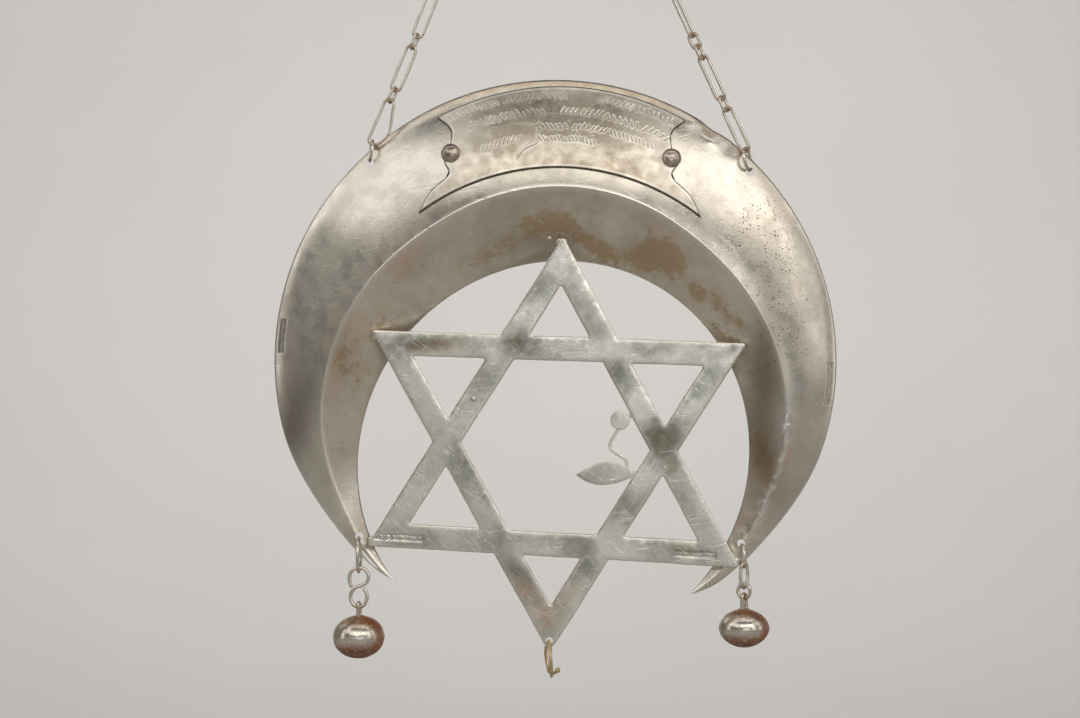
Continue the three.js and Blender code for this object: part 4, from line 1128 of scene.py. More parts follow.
# Painted shade: dark spots at the lower left, on the side bevels and beside the star's top tip.
CRESCENT_PAINTED_DARK_SHADE = (
    Spot(-79.0, -236.0, 6.5, 15.0, 0.60, -12.0),
    Spot(-80.0, -206.0, 4.0, 11.0, 0.30, 0.0),
    Spot(-76.0, -190.0, 3.0, 7.0, 0.16, -20.0),
    Spot(72.5, -220.0, 5.0, 20.0, 0.56, 0.0),
    Spot(72.5, -248.0, 5.5, 14.0, 0.62, 12.0),
    Spot(84.0, -240.0, 5.0, 15.0, 0.22, 0.0),
    Spot(86.0, -192.0, 4.0, 14.0, 0.16, 8.0),
    Spot(-62.5, -214.0, 5.0, 13.0, 0.28, 0.0),
    Spot(-37.0, -182.0, 12.0, 4.5, 0.16, 42.0),
    Spot(36.0, -181.0, 14.0, 5.0, 0.12, -38.0),
    Spot(2.0, -176.0, 14.0, 4.0, 0.26, 0.0),
    Spot(-88.5, -230.0, 1.2, 26.0, 0.2, 0.0),
)
# Copper-pink patches, some of them painted reflections on the bevel and a painted highlight near the lower right hole.
CRESCENT_BLUSH_AND_PAINTED_REFLECTIONS = (
    Spot(-42.0, -181.0, 12.0, 4.0, 0.70, 45.0),
    Spot(-59.0, -205.0, 6.0, 3.5, 0.70, 60.0),
    Spot(-65.5, -222.0, 2.0, 7.0, 0.60, 0.0),
    Spot(72.5, -252.0, 4.0, 10.0, 0.45, 15.0),
    Spot(-63.5, -264.0, 1.5, 4.0, 0.40, -15.0),
    Spot(74.0, -165.0, 10.0, 12.0, 0.22, -40.0),
    Spot(80.5, -245.0, 2.2, 6.0, 0.6, -25.0),
    Spot(83.0, -193.0, 1.6, 5.0, 0.35, 0.0),
    Spot(66.0, -266.0, 4.0, 3.0, 0.45, 40.0),
    Spot(40.0, -170.0, 12.0, 4.0, 0.3, -35.0),
)
CRESCENT_PITS = (
    Spot(78.0, -190.0, 8.0, 20.0, 0.50, 14.0),
    Spot(70.0, -172.0, 9.0, 9.0, 0.42, 0.0),
    Spot(77.0, -207.0, 6.0, 6.0, 0.50, 0.0),
    Spot(60.0, -203.0, 5.0, 5.0, 0.25, 0.0),
    Spot(60.0, -280.0, 10.0, 14.0, 0.40, -30.0),
    Spot(-20.0, -142.0, 20.0, 8.0, 0.10, 0.0),
    Spot(-75.0, -205.0, 8.0, 18.0, 0.07, 0.0),
    Spot(-25.0, -165.0, 22.0, 5.0, 0.14, 28.0),
)
# Painted highlights.
CRESCENT_PAINTED_HIGHLIGHTS = (
    Spot(64.0, -156.0, 12.0, 8.0, 0.40, -40.0),
    Spot(-38.0, -150.0, 10.0, 9.0, 0.30, 40.0),
    Spot(-61.5, -262.0, 3.5, 12.0, 0.65, -18.0),
    Spot(-33.0, -176.0, 9.0, 3.0, 0.25, 40.0),
    Spot(25.0, -172.5, 7.0, 3.0, 0.40, -20.0),
    Spot(-77.0, -258.0, 3.0, 9.0, 0.30, -35.0),
    Spot(82.5, -192.5, 1.0, 5.0, 0.3, 0.0),
    Spot(79.0, -234.0, 3.0, 5.0, 0.45, 10.0),
    Spot(82.0, -224.0, 4.0, 3.0, 0.30, 0.0),
)


@dataclass
class CartouchePlate:
    """The engraved plate at the top: its own curved side, its edges and its worn cuts."""

    crescent: Crescent
    middle: float = 0.85
    lean: float = 0.45
    side: tuple[tuple[float, float], ...] = (
        (44.25, 64.5),
        (37.8, 67.45),
        (31.2, 68.8),
        (30.5, 73.0),
        (27.4, 76.9),
        (25.7, 81.5),
        (27.25, 87.1),
    )
    top_rise: float = 0.9
    foot_dip: float = 3.1
    front_lift: float = 1.05
    back_lift: float = 0.14
    edge: float = 0.4
    columns: int = 520
    rows: int = 140
    row_radius: float = 77.0
    cuts: tuple[tuple[float, float, float, float], ...] = (
        (-33.0, -18.5, 83.7, 2.1),
        (-16.8, -6.5, 83.8, 2.0),
        (-4.8, 1.5, 83.9, 2.0),
        (11.0, 20.5, 83.9, 2.0),
        (22.3, 34.0, 83.7, 2.1),
        (-29.0, -19.5, 78.4, 2.4),
        (-17.5, -5.0, 78.6, 2.4),
        (0.0, 13.5, 78.7, 2.4),
        (15.2, 24.5, 78.5, 2.4),
        (26.0, 33.5, 78.3, 2.3),
        (-8.5, 2.0, 73.9, 2.1),
        (4.0, 14.4, 74.0, 2.1),
        (17.0, 31.0, 74.0, 2.1),
        (-27.5, -14.0, 70.6, 2.3),
        (-6.5, 12.0, 69.9, 2.0),
    )

    def face(self, level: np.ndarray, across: np.ndarray, lift: np.ndarray) -> tuple[np.ndarray, ...]:
        """Places of plate points, with their angle and radius.

        The side curve gives half the plate's angle and a radius at each level. A point is that
        share across of the half angle, raised by the top's rise or lowered by the foot's dip
        times 1 - across^2.

        Args:
            level: 0 at the foot to 1 at the top.
            across: -1 at the right end to 1 at the left.
            lift: Height over the crescent's face.

        Returns:
            Points, angles and radii.
        """
        curve = through_points(np.array(self.side), (), 12)
        key = np.linspace(0.0, 1.0, len(curve))
        half = np.interp(level, key, curve[:, 0])
        radius = np.interp(level, key, curve[:, 1])
        bow = 1.0 - across**2
        angle = self.middle + half * across
        radius = radius - self.lean * across + bow * (self.top_rise * level - self.foot_dip * (1 - level))
        return self.crescent.on_face(angle, radius, lift), angle, radius

    def strokes(self) -> np.ndarray:
        """All engraved cuts as arcs' run and radius, with one long slipped scratch."""
        rows = [tick_strokes(*row, seed=40 + k) for k, row in enumerate(self.cuts)]
        slip = np.array([[-16.0, 65.6], [-12.9, 68.1], [-8.4, 69.5], [-7.0, 76.2]])
        return np.vstack([*rows, np.hstack([slip[:-1], slip[1:]])])

    def build(self) -> None:
        """Makes the plate as columns of closed sections, engraved by distance to the cuts.

        A cut is 0.13 mm deep and falls off as a bell, with a low burr beside it. Near the plate's
        outline its thickness shrinks as in the crescent.
        """
        start = np.array([0.0, 0.002, 0.007, 0.016])
        level = np.concatenate([start, np.linspace(0.024, 0.976, self.rows), 1 - start[::-1]])
        tight = start / 4
        across = 2 * np.concatenate([tight, np.linspace(0.0065, 0.9935, self.columns), 1 - tight[::-1]]) - 1
        row, col = np.meshgrid(level, across, indexing="xy")
        _, angle, radius = self.face(row, col, 0.0)
        unrolled = np.stack([np.radians(angle - self.middle) * radius, radius], axis=-1)
        outline = np.vstack([unrolled[::20, 0], unrolled[-1, ::2], unrolled[::-20, -1], unrolled[0, ::-2]])
        rim = distance_to_strokes(unrolled, np.hstack([outline, np.roll(outline, -1, axis=0)]))
        full = np.sqrt(np.clip(1 - (1 - np.clip(rim / self.edge, 0, 1)) ** 2, 0, 1))
        run = -np.radians(angle - self.middle) * self.row_radius
        near = distance_to_strokes(np.stack([run, radius], axis=-1), self.strokes())
        flat = np.stack([run, radius, 0 * run], axis=-1)
        inside = smooth_step((rim - 0.5) / 0.6)
        worn = 0.55 + 0.45 * lattice_noise(flat, 9.0, 77)
        relief = inside * worn * (-0.17 * bell(near, 0.22) + 0.08 * bell(near - 0.48, 0.18))
        relief = relief + inside * (0.05 * lattice_noise(flat, 15.0, 6) + 0.015 * lattice_noise(flat, 4.0, 7))
        middle = (self.front_lift + self.back_lift) / 2
        half = (self.front_lift - self.back_lift) / 2 * full
        front = self.face(row, col, middle + half + relief)[0]
        kept = np.r_[1:4, 8 : len(level) - 5 : 12, len(level) - 4 : len(level) - 1]
        back = self.face(row, col, middle - half)[0]
        world = self.crescent.place.world
        surface = outward(sheet_shell(world(front), world(back), kept))
        both = np.r_[np.arange(len(level)), kept[::-1]]
        spread = lambda values: (values * 1.0)[:, both].ravel()
        # Painted highlight over both ends of the plate.
        ends = np.clip(np.abs(col) * 1.25 - 0.55, 0, 1) * 0.5
        surface.marks = {
            # A painted shadow line round the outline, and dark engraved cuts.
            Mark.GROOVE_AND_SHADE.value: spread(0.95 * bell(rim, 0.34) + 0.45 * worn * inside * bell(near, 0.16)),
            # Painted highlights: a line inside the outline, a line beside each cut, and both ends.
            Mark.WEAR_AND_HIGHLIGHT.value: spread(
                np.clip(0.95 * bell(rim - 0.72, 0.26) + 0.85 * worn * inside * bell(near - 0.42, 0.18) + ends, 0, 1)
            ),
            Mark.TARNISH_AND_REFLECTION.value: spread(0.18 * bell(row - 0.1, 0.2) + 0.12),
            # Darker ground between the cut rows and a darker patch in the middle, lessened at the painted-highlight
            # ends.
            Mark.DULL_AND_SHADE.value: spread(
                np.clip(
                    0.48 * inside * smooth_step((near - 0.5) / 0.5) * smooth_step((radius - 68.5) / 3)
                    + 0.45 * bell(run + 1.0, 15.0) * bell(radius - 77.5, 5.0)
                    - ends,
                    0,
                    1,
                )
            ),
        }
        make_piece("cartouche_sheet", surface, PLATE_FINISH, Slot.SHEET, ("cartouche_plate",), 60.0)


@dataclass
class Rivets:
    """Two round-headed rivets through the plate and the crescent."""

    crescent: Crescent
    places: tuple[tuple[str, float, float], ...] = (("left", 28.9, 73.7), ("right", -27.6, 74.0))
    head_radius: float = 3.15
    head_foot: float = 1.02
    head_height: float = 2.45
    shank_radius: float = 0.95
    tail_radius: float = 1.7
    tail_height: float = 0.8
    behind: float = -1.3

    def profile(self) -> np.ndarray:
        """Head as r cos, h sin^0.9, then the shank and the hammered tail."""
        turn = np.radians(np.linspace(89.0, 0.0, 22))
        head = np.stack(
            [self.head_radius * np.cos(turn) ** 0.95, self.head_foot + self.head_height * np.sin(turn) ** 0.95],
            axis=-1,
        )
        under = np.array(
            [
                [self.head_radius - 0.08, self.head_foot - 0.1],
                [self.shank_radius, self.head_foot - 0.1],
                [self.shank_radius, self.behind],
                [self.tail_radius, self.behind],
                [self.tail_radius * 0.96, self.behind - self.tail_height * 0.6],
                [self.tail_radius * 0.6, self.behind - self.tail_height],
                [0.05, self.behind - self.tail_height],
            ]
        )
        return np.vstack([head, under])

    def build(self) -> None:
        """Turns each rivet and stands it on the crescent's face, along its normal."""
        for name, angle, radius in self.places:
            axis = self.crescent.normal(angle, radius)
            side = unit(np.cross(axis, np.array([0.0, 0.0, 1.0])))
            up = np.cross(side, axis)
            surface = lathe(self.profile(), 48)
            noise = 1 + 0.02 * lattice_noise(surface.points, 1.8, 12)[:, None]
            at = self.crescent.on_face(np.array([angle]), np.array([radius]))[0]
            placed = (surface.points * noise) @ np.stack([side, up, axis]) + at
            surface = outward(Surface(self.crescent.place.world(placed), surface.faces))
            surface.marks = {Mark.TARNISH_AND_REFLECTION.value: np.full(len(surface.points), 0.25)}
            make_piece(f"rivet_head_{name}", surface, RIVET_FINISH, Slot.RIVET, (f"rivet_{name}",), 50.0)


def crossing(p: np.ndarray, q: np.ndarray) -> np.ndarray:
    """Where two flat lines meet, each given as a point and a direction in one row."""
    det = p[2] * q[3] - p[3] * q[2]
    t = ((q[0] - p[0]) * q[3] - (q[1] - p[1]) * q[2]) / det
    return p[:2] + p[2:] * t


def inset_line(a: tuple[float, float], b: tuple[float, float], inward: float) -> np.ndarray:
    """The line from a to b, moved to its left by a distance."""
    start = np.array(a)
    run = unit(np.array(b) - start)
    return np.concatenate([start + np.array([-run[1], run[0]]) * inward, run])


def loop_area(loop: np.ndarray) -> float:
    """Half the sum of x1 y2 - x2 y1 round a loop: positive when it runs anticlockwise."""
    after = np.roll(loop, -1, axis=0)
    return float((loop[:, 0] * after[:, 1] - after[:, 0] * loop[:, 1]).sum()) / 2


def filleted(loop: np.ndarray, radii: list[float], steps: int = 5) -> np.ndarray:
    """Rounds each corner of a loop by its own radius.

    An arc of radius r touches both sides r / tan(half angle) from the corner, about a centre that
    stands r / sin(half angle) from it.

    Args:
        loop: The corners.
        radii: One radius for each corner, 0 for a sharp one.
        steps: Points on each arc.

    Returns:
        The rounded loop.
    """
    out = []
    for before, corner, after, radius in zip(np.roll(loop, 1, 0), loop, np.roll(loop, -1, 0), radii):
        if radius <= 0:
            out.append(corner[None])
            continue
        a, b = unit(before - corner), unit(after - corner)
        half = math.acos(float(np.clip(a @ b, -1, 1))) / 2
        reach = radius / math.tan(half)
        centre = corner + unit(a + b) * radius / math.sin(half)
        first, last = corner + a * reach - centre, corner + b * reach - centre
        turn = math.atan2(first[0] * last[1] - first[1] * last[0], float(first @ last))
        t = np.linspace(0.0, turn, steps)[:, None]
        square = np.array([-first[1], first[0]])
        out.append(centre + np.cos(t) * first + np.sin(t) * square)
    return np.vstack(out)


def refined(loop: np.ndarray, spacing: float) -> np.ndarray:
    """Adds even points to a loop's long sides."""
    runs = []
    for a, b in zip(loop, np.roll(loop, -1, axis=0)):
        count = max(1, int(round(float(np.linalg.norm(b - a)) / spacing)))
        runs.append(a + (b - a) * np.linspace(0.0, 1.0, count, endpoint=False)[:, None])
    return np.vstack(runs)


def inset_loop(loop: np.ndarray, inward: float) -> np.ndarray:
    """Moves a loop's sides to their left: each point goes along its mitre, inward / cos(half turn)."""
    before, after = loop - np.roll(loop, 1, axis=0), np.roll(loop, -1, axis=0) - loop
    a, b = unit(before), unit(after)
    na, nb = np.stack([-a[:, 1], a[:, 0]], -1), np.stack([-b[:, 1], b[:, 0]], -1)
    mitre = unit(na + nb)
    return loop + mitre * inward / np.maximum((mitre * na).sum(-1, keepdims=True), 0.35)


def inside_loops(points: np.ndarray, loops: list[np.ndarray]) -> np.ndarray:
    """Whether each flat point is inside an odd number of loops, by counting sides to its right."""
    odd = np.zeros(len(points), bool)
    x, y = points[:, :1], points[:, 1:]
    for loop in loops:
        a, b = loop, np.roll(loop, -1, axis=0)
        crosses = (a[:, 1] > y) != (b[:, 1] > y)
        rise = np.where(b[:, 1] == a[:, 1], 1e-12, b[:, 1] - a[:, 1])
        at = a[:, 0] + (y - a[:, 1]) * (b[:, 0] - a[:, 0]) / rise
        odd ^= (np.count_nonzero(crosses & (x < at), axis=1) % 2).astype(bool)
    return odd


@dataclass
class SheetCut:
    """A flat plate sawn to loops, with rounded edges, made between its two faces."""

    loops: list[np.ndarray]
    thickness: float
    edges: list[float]
    spacing: float
    fine_boxes: tuple[tuple[float, float, float, float, float], ...] = ()
    edge_drop: float = 0.5

    def fill_points(self, inner: list[np.ndarray]) -> np.ndarray:
        """Jittered grid points in the metal, kept clear of its edges, finer in the boxes."""
        rng = np.random.default_rng(5)
        every = np.vstack(inner)
        low, high = every.min(axis=0), every.max(axis=0)
        boxes = [(low[0], low[1], high[0], high[1], self.spacing), *self.fine_boxes]
        kept = []
        for index, (x0, y0, x1, y1, step) in enumerate(boxes):
            grid = np.stack(np.meshgrid(np.arange(x0, x1, step), np.arange(y0, y1, step)), -1).reshape(-1, 2)
            grid = grid + rng.uniform(-0.22, 0.22, grid.shape) * step
            for fx0, fy0, fx1, fy1, _ in self.fine_boxes if index == 0 else ():
                inside = (grid[:, 0] > fx0) & (grid[:, 0] < fx1) & (grid[:, 1] > fy0) & (grid[:, 1] < fy1)
                grid = grid[~inside]
            grid = grid[inside_loops(grid, inner)]
            sides = np.vstack([np.hstack([loop, np.roll(loop, -1, axis=0)]) for loop in inner])
            kept.append(grid[distance_to_strokes(grid, sides) > 0.45 * step])
        return np.vstack(kept)

    def surface(self, lifted) -> Surface:
        """Fills both faces with triangles and joins them by rounded walls.

        The faces are a Delaunay net of the loops, each set in by its edge's radius, and the
        points between them. A wall has rings from face to face whose inset and depth follow a
        quarter of an ellipse at each edge, `edge_drop` times as deep as it is wide.

        Args:
            lifted: Turns flat points and a height over the back face into points in space.

        Returns:
            The closed surface.
        """
        inner = [inset_loop(loop, edge) for loop, edge in zip(self.loops, self.edges)]
        rim = np.vstack(inner)
        net = np.vstack([rim, self.fill_points(inner)])
        stops = np.cumsum([0, *[len(loop) for loop in inner]])
        sides = [
            (int(s + k), int(s + (k + 1) % (e - s))) for s, e in zip(stops[:-1], stops[1:]) for k in range(e - s)
        ]
        found = delaunay_2d_cdt([Vector(p) for p in net.tolist()], sides, [], 0, 1e-5)
        if len(found[0]) != len(net):
            raise ValueError("two loops of a cut sheet touch")
        triangles = np.array([t for t in found[2] if len(t) == 3])
        triangles = triangles[inside_loops(net[triangles].mean(axis=1), inner)]
        arc = np.radians(np.array([68.0, 46.0, 24.0, 0.0]))
        share = np.concatenate([1 - np.cos(arc), 1 - np.cos(arc[::-1])])
        drop = np.concatenate([1 - np.sin(arc), 1 - np.sin(arc[::-1])])
        radius = self.edge_drop * np.repeat(self.edges, [len(loop) for loop in self.loops])
        levels = []
        for index, (inset, down) in enumerate(zip(share, drop)):
            ring = np.vstack([inset_loop(loop, edge * inset) for loop, edge in zip(self.loops, self.edges)])
            height = self.thickness - radius * down if index < len(arc) else radius * down
            levels.append(lifted(ring, height))
        front, back = lifted(net, np.full(len(net), self.thickness)), lifted(net, np.zeros(len(net)))
        count = len(net)
        starts = [0, *[2 * count + k * len(rim) for k in range(len(levels))], count]
        follow = np.array([b for _, b in sides])
        here = np.arange(len(rim))
        walls = [
            np.stack([a + here, a + follow, b + follow, b + here], axis=-1) for a, b in zip(starts[:-1], starts[1:])
        ]
        points = np.vstack([front, back, *levels])
        flip = np.sign(np.cross(*(net[triangles[:, k]] - net[triangles[:, 0]] for k in (1, 2))))
        ordered = np.where(flip[:, None] > 0, triangles, triangles[:, ::-1])
        return outward(Surface(points, [ordered, ordered[:, ::-1] + count, *[w[:, ::-1] for w in walls]]))


def lump(at: tuple[float, float, float], size: tuple[float, float, float], seed: int) -> Surface:
    """A small solder blob: a ball of the three half sizes, uneven by lattice noise."""
    turn = np.radians(np.linspace(88.0, -88.0, 12))
    ball = lathe(np.stack([np.cos(turn), np.sin(turn)], axis=-1), 20)
    uneven = 1 + 0.16 * lattice_noise(ball.points + seed, 0.9, seed)[:, None]
    return outward(Surface(ball.points * uneven * np.array(size) + np.array(at), ball.faces))


@dataclass
class StarPlate:
    """The flat six-pointed star of two sawn triangles, with worn bars and solder at its tips."""

    place: ShieldPlace
    plane_y: float = -5.5
    tilt: float = 2.4
    thickness: float = 1.5
    edge: float = 0.60
    hole_edge: float = 0.12
    bar: float = 7.8
    up: tuple[tuple[float, float], ...] = ((0.95, 39.9), (-58.4, -61.4), (61.5, -64.0))
    down: tuple[tuple[float, float], ...] = ((1.35, -93.8), (60.9, 8.0), (-59.2, 7.7))
    tip_round: float = 0.72
    notch_round: float = 0.5
    nose_radius: float = 2.0
    hole_radius: float = 1.2
    stamps: tuple[tuple[float, float, float, float, float, int], ...] = (
        (-48.2, -58.3, 8.3, 1.15, -1.2, 31),
        (47.0, -60.2, 6.8, 1.05, -1.2, 32),
    )
    scratches: tuple[tuple[float, float, float, float], ...] = (
        (-53.0, 5.6, -49.2, 1.0),
        (-49.2, 1.0, -47.8, 5.9),
        (-55.0, 4.0, -50.0, 5.0),
        (-16.0, 4.2, -9.0, 1.2),
        (22.0, 1.4, 31.0, 5.6),
        (40.0, -46.0, 46.0, -52.0),
        (-36.0, -30.0, -31.0, -24.0),
    )

    def on_plate(self, flat: np.ndarray, height: np.ndarray) -> np.ndarray:
        """Places flat star points at a height over the plate's back, in the frame.

        The plate leans about X, so a point (x, z) at height h stands at y = plane - z sin - h cos
        and z' = z cos - h sin.

        Args:
            flat: Points in the star's plane.
            height: Heights over its back face.

        Returns:
            Points in the frame.
        """
        s, c = math.sin(math.radians(self.tilt)), math.cos(math.radians(self.tilt))
        x, z = flat[..., 0], flat[..., 1]
        own = np.stack([x, self.plane_y - z * s - height * c, z * c - height * s], axis=-1)
        return self.place.world(own)

    def foot_hole(self) -> np.ndarray:
        """Centre of the foot's hole, where a round nose touches both sides of a 60 degree point."""
        x, z = self.down[0]
        return np.array([x, z + self.nose_radius / math.sin(math.radians(30.0))])

    def loops(self) -> list[np.ndarray]:
        """The star's outline, its seven openings and the foot's hole, each with metal on its left."""
        lines = lambda corners, inset: [
            inset_line(corners[k], corners[(k + 1) % 3], inset) for k in range(3)
        ]
        up, down = lines(self.up, 0.0), lines(self.down, 0.0)
        up_in, down_in = lines(self.up, self.bar), lines(self.down, self.bar)
        hole = self.foot_hole()
        turn = np.radians(np.linspace(210.0, 330.0, 9))
        nose = hole + self.nose_radius * np.stack([np.cos(turn), np.sin(turn)], axis=-1)
        tip, notch = self.tip_round, self.notch_round
        left = [self.up[0], crossing(up[0], down[1]), self.down[2], crossing(down[2], up[0]), self.up[1]]
        right = [crossing(down[0], up[1]), self.up[2], crossing(up[2], down[0]), self.down[1]]
        outline = np.vstack([*left, crossing(up[1], down[2]), nose, *right, crossing(down[1], up[2])])
        radii = [tip, notch, tip, notch, tip, notch, *[0.0] * 9, notch, tip, notch, tip, notch]
        openings = [
            (up_in[0], up_in[2], down[1]),
            (up_in[1], up_in[0], down[2]),
            (up_in[2], up_in[1], down[0]),
            (down_in[0], down_in[2], up[1]),
            (down_in[1], down_in[0], up[2]),
            (down_in[2], down_in[1], up[0]),
        ]
        loops = [filleted(outline, radii)]
        for a, b, c in openings:
            corners = np.vstack([crossing(a, b), crossing(b, c), crossing(c, a)])
            loops.append(filleted(corners, [0.45] * 3))
        sides = (up_in[0], down_in[1], up_in[2], down_in[0], up_in[1], down_in[2])
        hexagon = np.vstack([crossing(a, b) for a, b in zip(sides, (*sides[1:], sides[0]))])
        loops.append(filleted(hexagon, [0.5] * 6))
        ring = np.linspace(0.0, 2 * math.pi, 24, endpoint=False)
        loops.append(hole + self.hole_radius * np.stack([np.cos(ring), np.sin(ring)], axis=-1))
        turned = [loops[0]] + [loop if loop_area(loop) < 0 else loop[::-1] for loop in loops[1:]]
        return [refined(loop, 1.3) if len(loop) != 24 else loop for loop in turned]

    def sawn(self, flat: np.ndarray) -> np.ndarray:
        """Bends flat points a little, by two fields of lattice noise, as a hand saw and file leave them."""
        solid = np.concatenate([flat, np.zeros((len(flat), 1))], axis=1)
        shift = np.stack([lattice_noise(solid, 9.0, 61), lattice_noise(solid, 9.0, 62)], axis=-1)
        fine = np.stack([lattice_noise(solid, 2.4, 63), lattice_noise(solid, 2.4, 64)], axis=-1)
        return flat + 0.10 * shift + 0.03 * fine

    def stamp_depth(self, flat: np.ndarray) -> np.ndarray:
        """Sunk bars, each with low slants that stand in it, at both lower corners."""
        total = np.zeros(len(flat))
        for x, z, half, high, lean, seed in self.stamps:
            c, s = math.cos(math.radians(lean)), math.sin(math.radians(lean))
            run = (flat[:, 0] - x) * c + (flat[:, 1] - z) * s
            rise = (flat[:, 1] - z) * c - (flat[:, 0] - x) * s
            inside = smooth_step((half - np.abs(run)) / 0.4) * smooth_step((high - np.abs(rise)) / 0.4)
            cuts = tick_strokes(-half + 0.7, half - 0.7, -0.6 * high, 1.2 * high, seed)
            near = distance_to_strokes(np.stack([run, rise], -1), cuts)
            total = total + inside * (-0.26 + 0.22 * bell(near, 0.22))
        return total

    def lifted(self, flat: np.ndarray, height: np.ndarray) -> np.ndarray:
        """Points of the worn plate: sawn sides, faces that wave a little, and sunk stamps."""
        bent = self.sawn(flat)
        solid = np.concatenate([flat, np.zeros((len(flat), 1))], axis=1)
        wave = 0.09 * lattice_noise(solid, 17.0, 71) + 0.025 * lattice_noise(solid, 4.5, 72)
        front = height > self.thickness * 0.99
        cut = np.where(front, self.stamp_depth(flat), 0.0)
        return self.on_plate(bent, height + wave + cut)

    def solder(self) -> list[Surface]:
        """Blobs where the points meet the crescent and the spray meets the bars, and stubs of lost openwork."""
        spots = [
            ((0.7, 38.2), (2.0, 1.0, 1.3), -0.5),
            ((-3.4, 39.2), (0.8, 0.8, 0.75), -1.2),
            ((-57.0, 6.2), (2.2, 1.1, 1.6), -0.4),
            ((58.6, 6.4), (2.0, 1.2, 1.6), -0.4),
            ((-56.2, -59.6), (2.0, 1.0, 1.4), -0.5),
            ((59.4, -61.9), (2.1, 1.1, 1.5), -0.2),
            ((-25.9, -13.0), (0.9, 0.7, 1.0), 1.4),
            ((-21.3, -43.6), (0.7, 0.7, 1.5), 1.2),
            ((25.2, -16.3), (1.0, 0.7, 0.9), 0.75),
            ((26.6, -35.2), (0.9, 0.6, 1.0), 0.7),
        ]
        made = []
        for index, ((x, z), size, height) in enumerate(spots):
            at = self.on_plate(np.array([x, z]), np.array(height))
            made.append(lump(tuple(at), size, 80 + index))
        return made

    def build(self) -> None:
        """Makes the star with its solder as one piece, and paints its scratches and stains, with painted shade patches
        and painted highlights on its edges and bars.
        """
        fine = tuple(
            (x - half - 0.6, z - high - 1.1, x + half + 0.6, z + high + 1.1, 0.3)
            for x, z, half, high, _, _ in self.stamps
        )
        loops = self.loops()
        edges = [*[self.edge] * (len(loops) - 1), self.hole_edge]
        plate = SheetCut(loops, self.thickness, edges, 1.15, fine).surface(self.lifted)
        points = plate.points
        away = self.place
        flat = turned_y(points - np.array([away.x, away.back_y, away.z]), -away.lean)[:, [0, 2]]
        cuts = distance_to_strokes(flat, np.array(self.scratches))
        outline = np.vstack([np.hstack([loop, np.roll(loop, -1, axis=0)]) for loop in loops])
        rim = bell(distance_to_strokes(flat, outline) - 0.35, 0.35)
        plate.marks = {
            Mark.TARNISH_AND_REFLECTION.value: painted(points, STAR_TARNISH, 0.05),
            # Painted shade patches, darkened again through the groove mark.
            Mark.DULL_AND_SHADE.value: painted(points, STAR_PAINTED_SHADE),
            Mark.GROOVE_AND_SHADE.value: 0.36 * painted(points, STAR_PAINTED_SHADE),
            Mark.BLUSH_AND_REFLECTION.value: painted(points, STAR_BLUSH),
            # Bright scratches, and painted highlights along every edge and in patches.
            Mark.WEAR_AND_HIGHLIGHT.value: np.clip(0.6 * bell(cuts, 0.4) + 0.8 * rim + painted(points, STAR_PAINTED_HIGHLIGHTS), 0, 1),
        }
        for blob in self.solder():
            blob.marks = {Mark.WEAR_AND_HIGHLIGHT.value: np.full(len(blob.points), 0.25)}
            plate = plate.joined(blob)
        make_piece("star_plate", plate, STAR_FINISH, Slot.STAR, ("star",), 35.0)


# Painted shade patches on the bars.
STAR_PAINTED_SHADE = (
    Spot(-6.7, -209.3, 5.5, 4.5, 0.8),
    Spot(18.6, -204.4, 5.0, 3.5, 0.6, -60.0),
    Spot(-35.7, -209.5, 13.0, 2.0, 0.6),
    Spot(23.5, -217.9, 5.0, 4.5, 0.7),
    Spot(39.9, -239.8, 7.0, 6.0, 0.9),
    Spot(26.7, -258.4, 5.0, 5.0, 0.7),
    Spot(-18.0, -245.9, 4.0, 7.0, 0.8, 20.0),
    Spot(-6.7, -282.2, 7.0, 3.5, 0.7, -30.0),
    Spot(-2.6, -192.2, 3.0, 8.0, 0.3, -30.0),
    Spot(37.3, -211.2, 8.0, 2.5, 0.45),
    Spot(-49.0, -224.0, 3.5, 6.0, 0.35, 30.0),
    Spot(14.0, -276.0, 4.0, 6.0, 0.5, -30.0),
)
STAR_TARNISH = (
    Spot(-39.5, -209.4, 9.0, 2.2, 0.35),
    Spot(39.9, -239.8, 6.0, 5.0, 0.60),
    Spot(-48.0, -214.0, 6.0, 4.0, 0.35, -60.0),
    Spot(20.0, -239.0, 4.0, 5.0, 0.45, 30.0),
    Spot(0.0, -181.0, 3.0, 6.0, 0.35),
    Spot(-8.0, -210.0, 5.0, 3.5, 0.55),
    Spot(-35.0, -210.5, 10.0, 2.2, 0.40),
    Spot(42.0, -250.0, 5.0, 4.0, 0.45),
    Spot(-18.0, -262.0, 5.0, 5.0, 0.35),
    Spot(48.0, -275.5, 6.5, 1.4, 0.6, -3.0),
    Spot(-33.0, -238.0, 4.0, 4.0, 0.3),
    Spot(20.0, -262.0, 6.0, 5.0, 0.3),
)
STAR_BLUSH = (
    Spot(-4.0, -289.0, 6.0, 3.0, 0.60, -30.0),
    Spot(7.0, -291.0, 5.0, 3.0, 0.55, 40.0),
    Spot(2.0, -298.0, 4.0, 4.0, 0.60),
    Spot(-30.0, -210.0, 9.0, 2.0, 0.25),
)
# Painted highlights on the bars.
STAR_PAINTED_HIGHLIGHTS = (
    Spot(14.5, -190.0, 3.0, 9.0, 0.55, 28.0),
    Spot(31.2, -254.6, 4.0, 5.0, 0.60, -30.0),
    Spot(-22.8, -235.9, 3.5, 5.0, 0.60, 30.0),
    Spot(-45.0, -271.5, 7.5, 1.5, 0.75, -3.0),
    Spot(64.0, -279.5, 2.0, 1.6, 0.8),
    Spot(50.0, -256.0, 3.0, 9.0, 0.45, 28.0),
    Spot(6.0, -209.5, 5.0, 3.0, 0.35),
    Spot(-50.0, -205.5, 7.0, 2.0, 0.35),
    Spot(-24.0, -228.0, 4.0, 6.0, 0.3, -30.0),
)


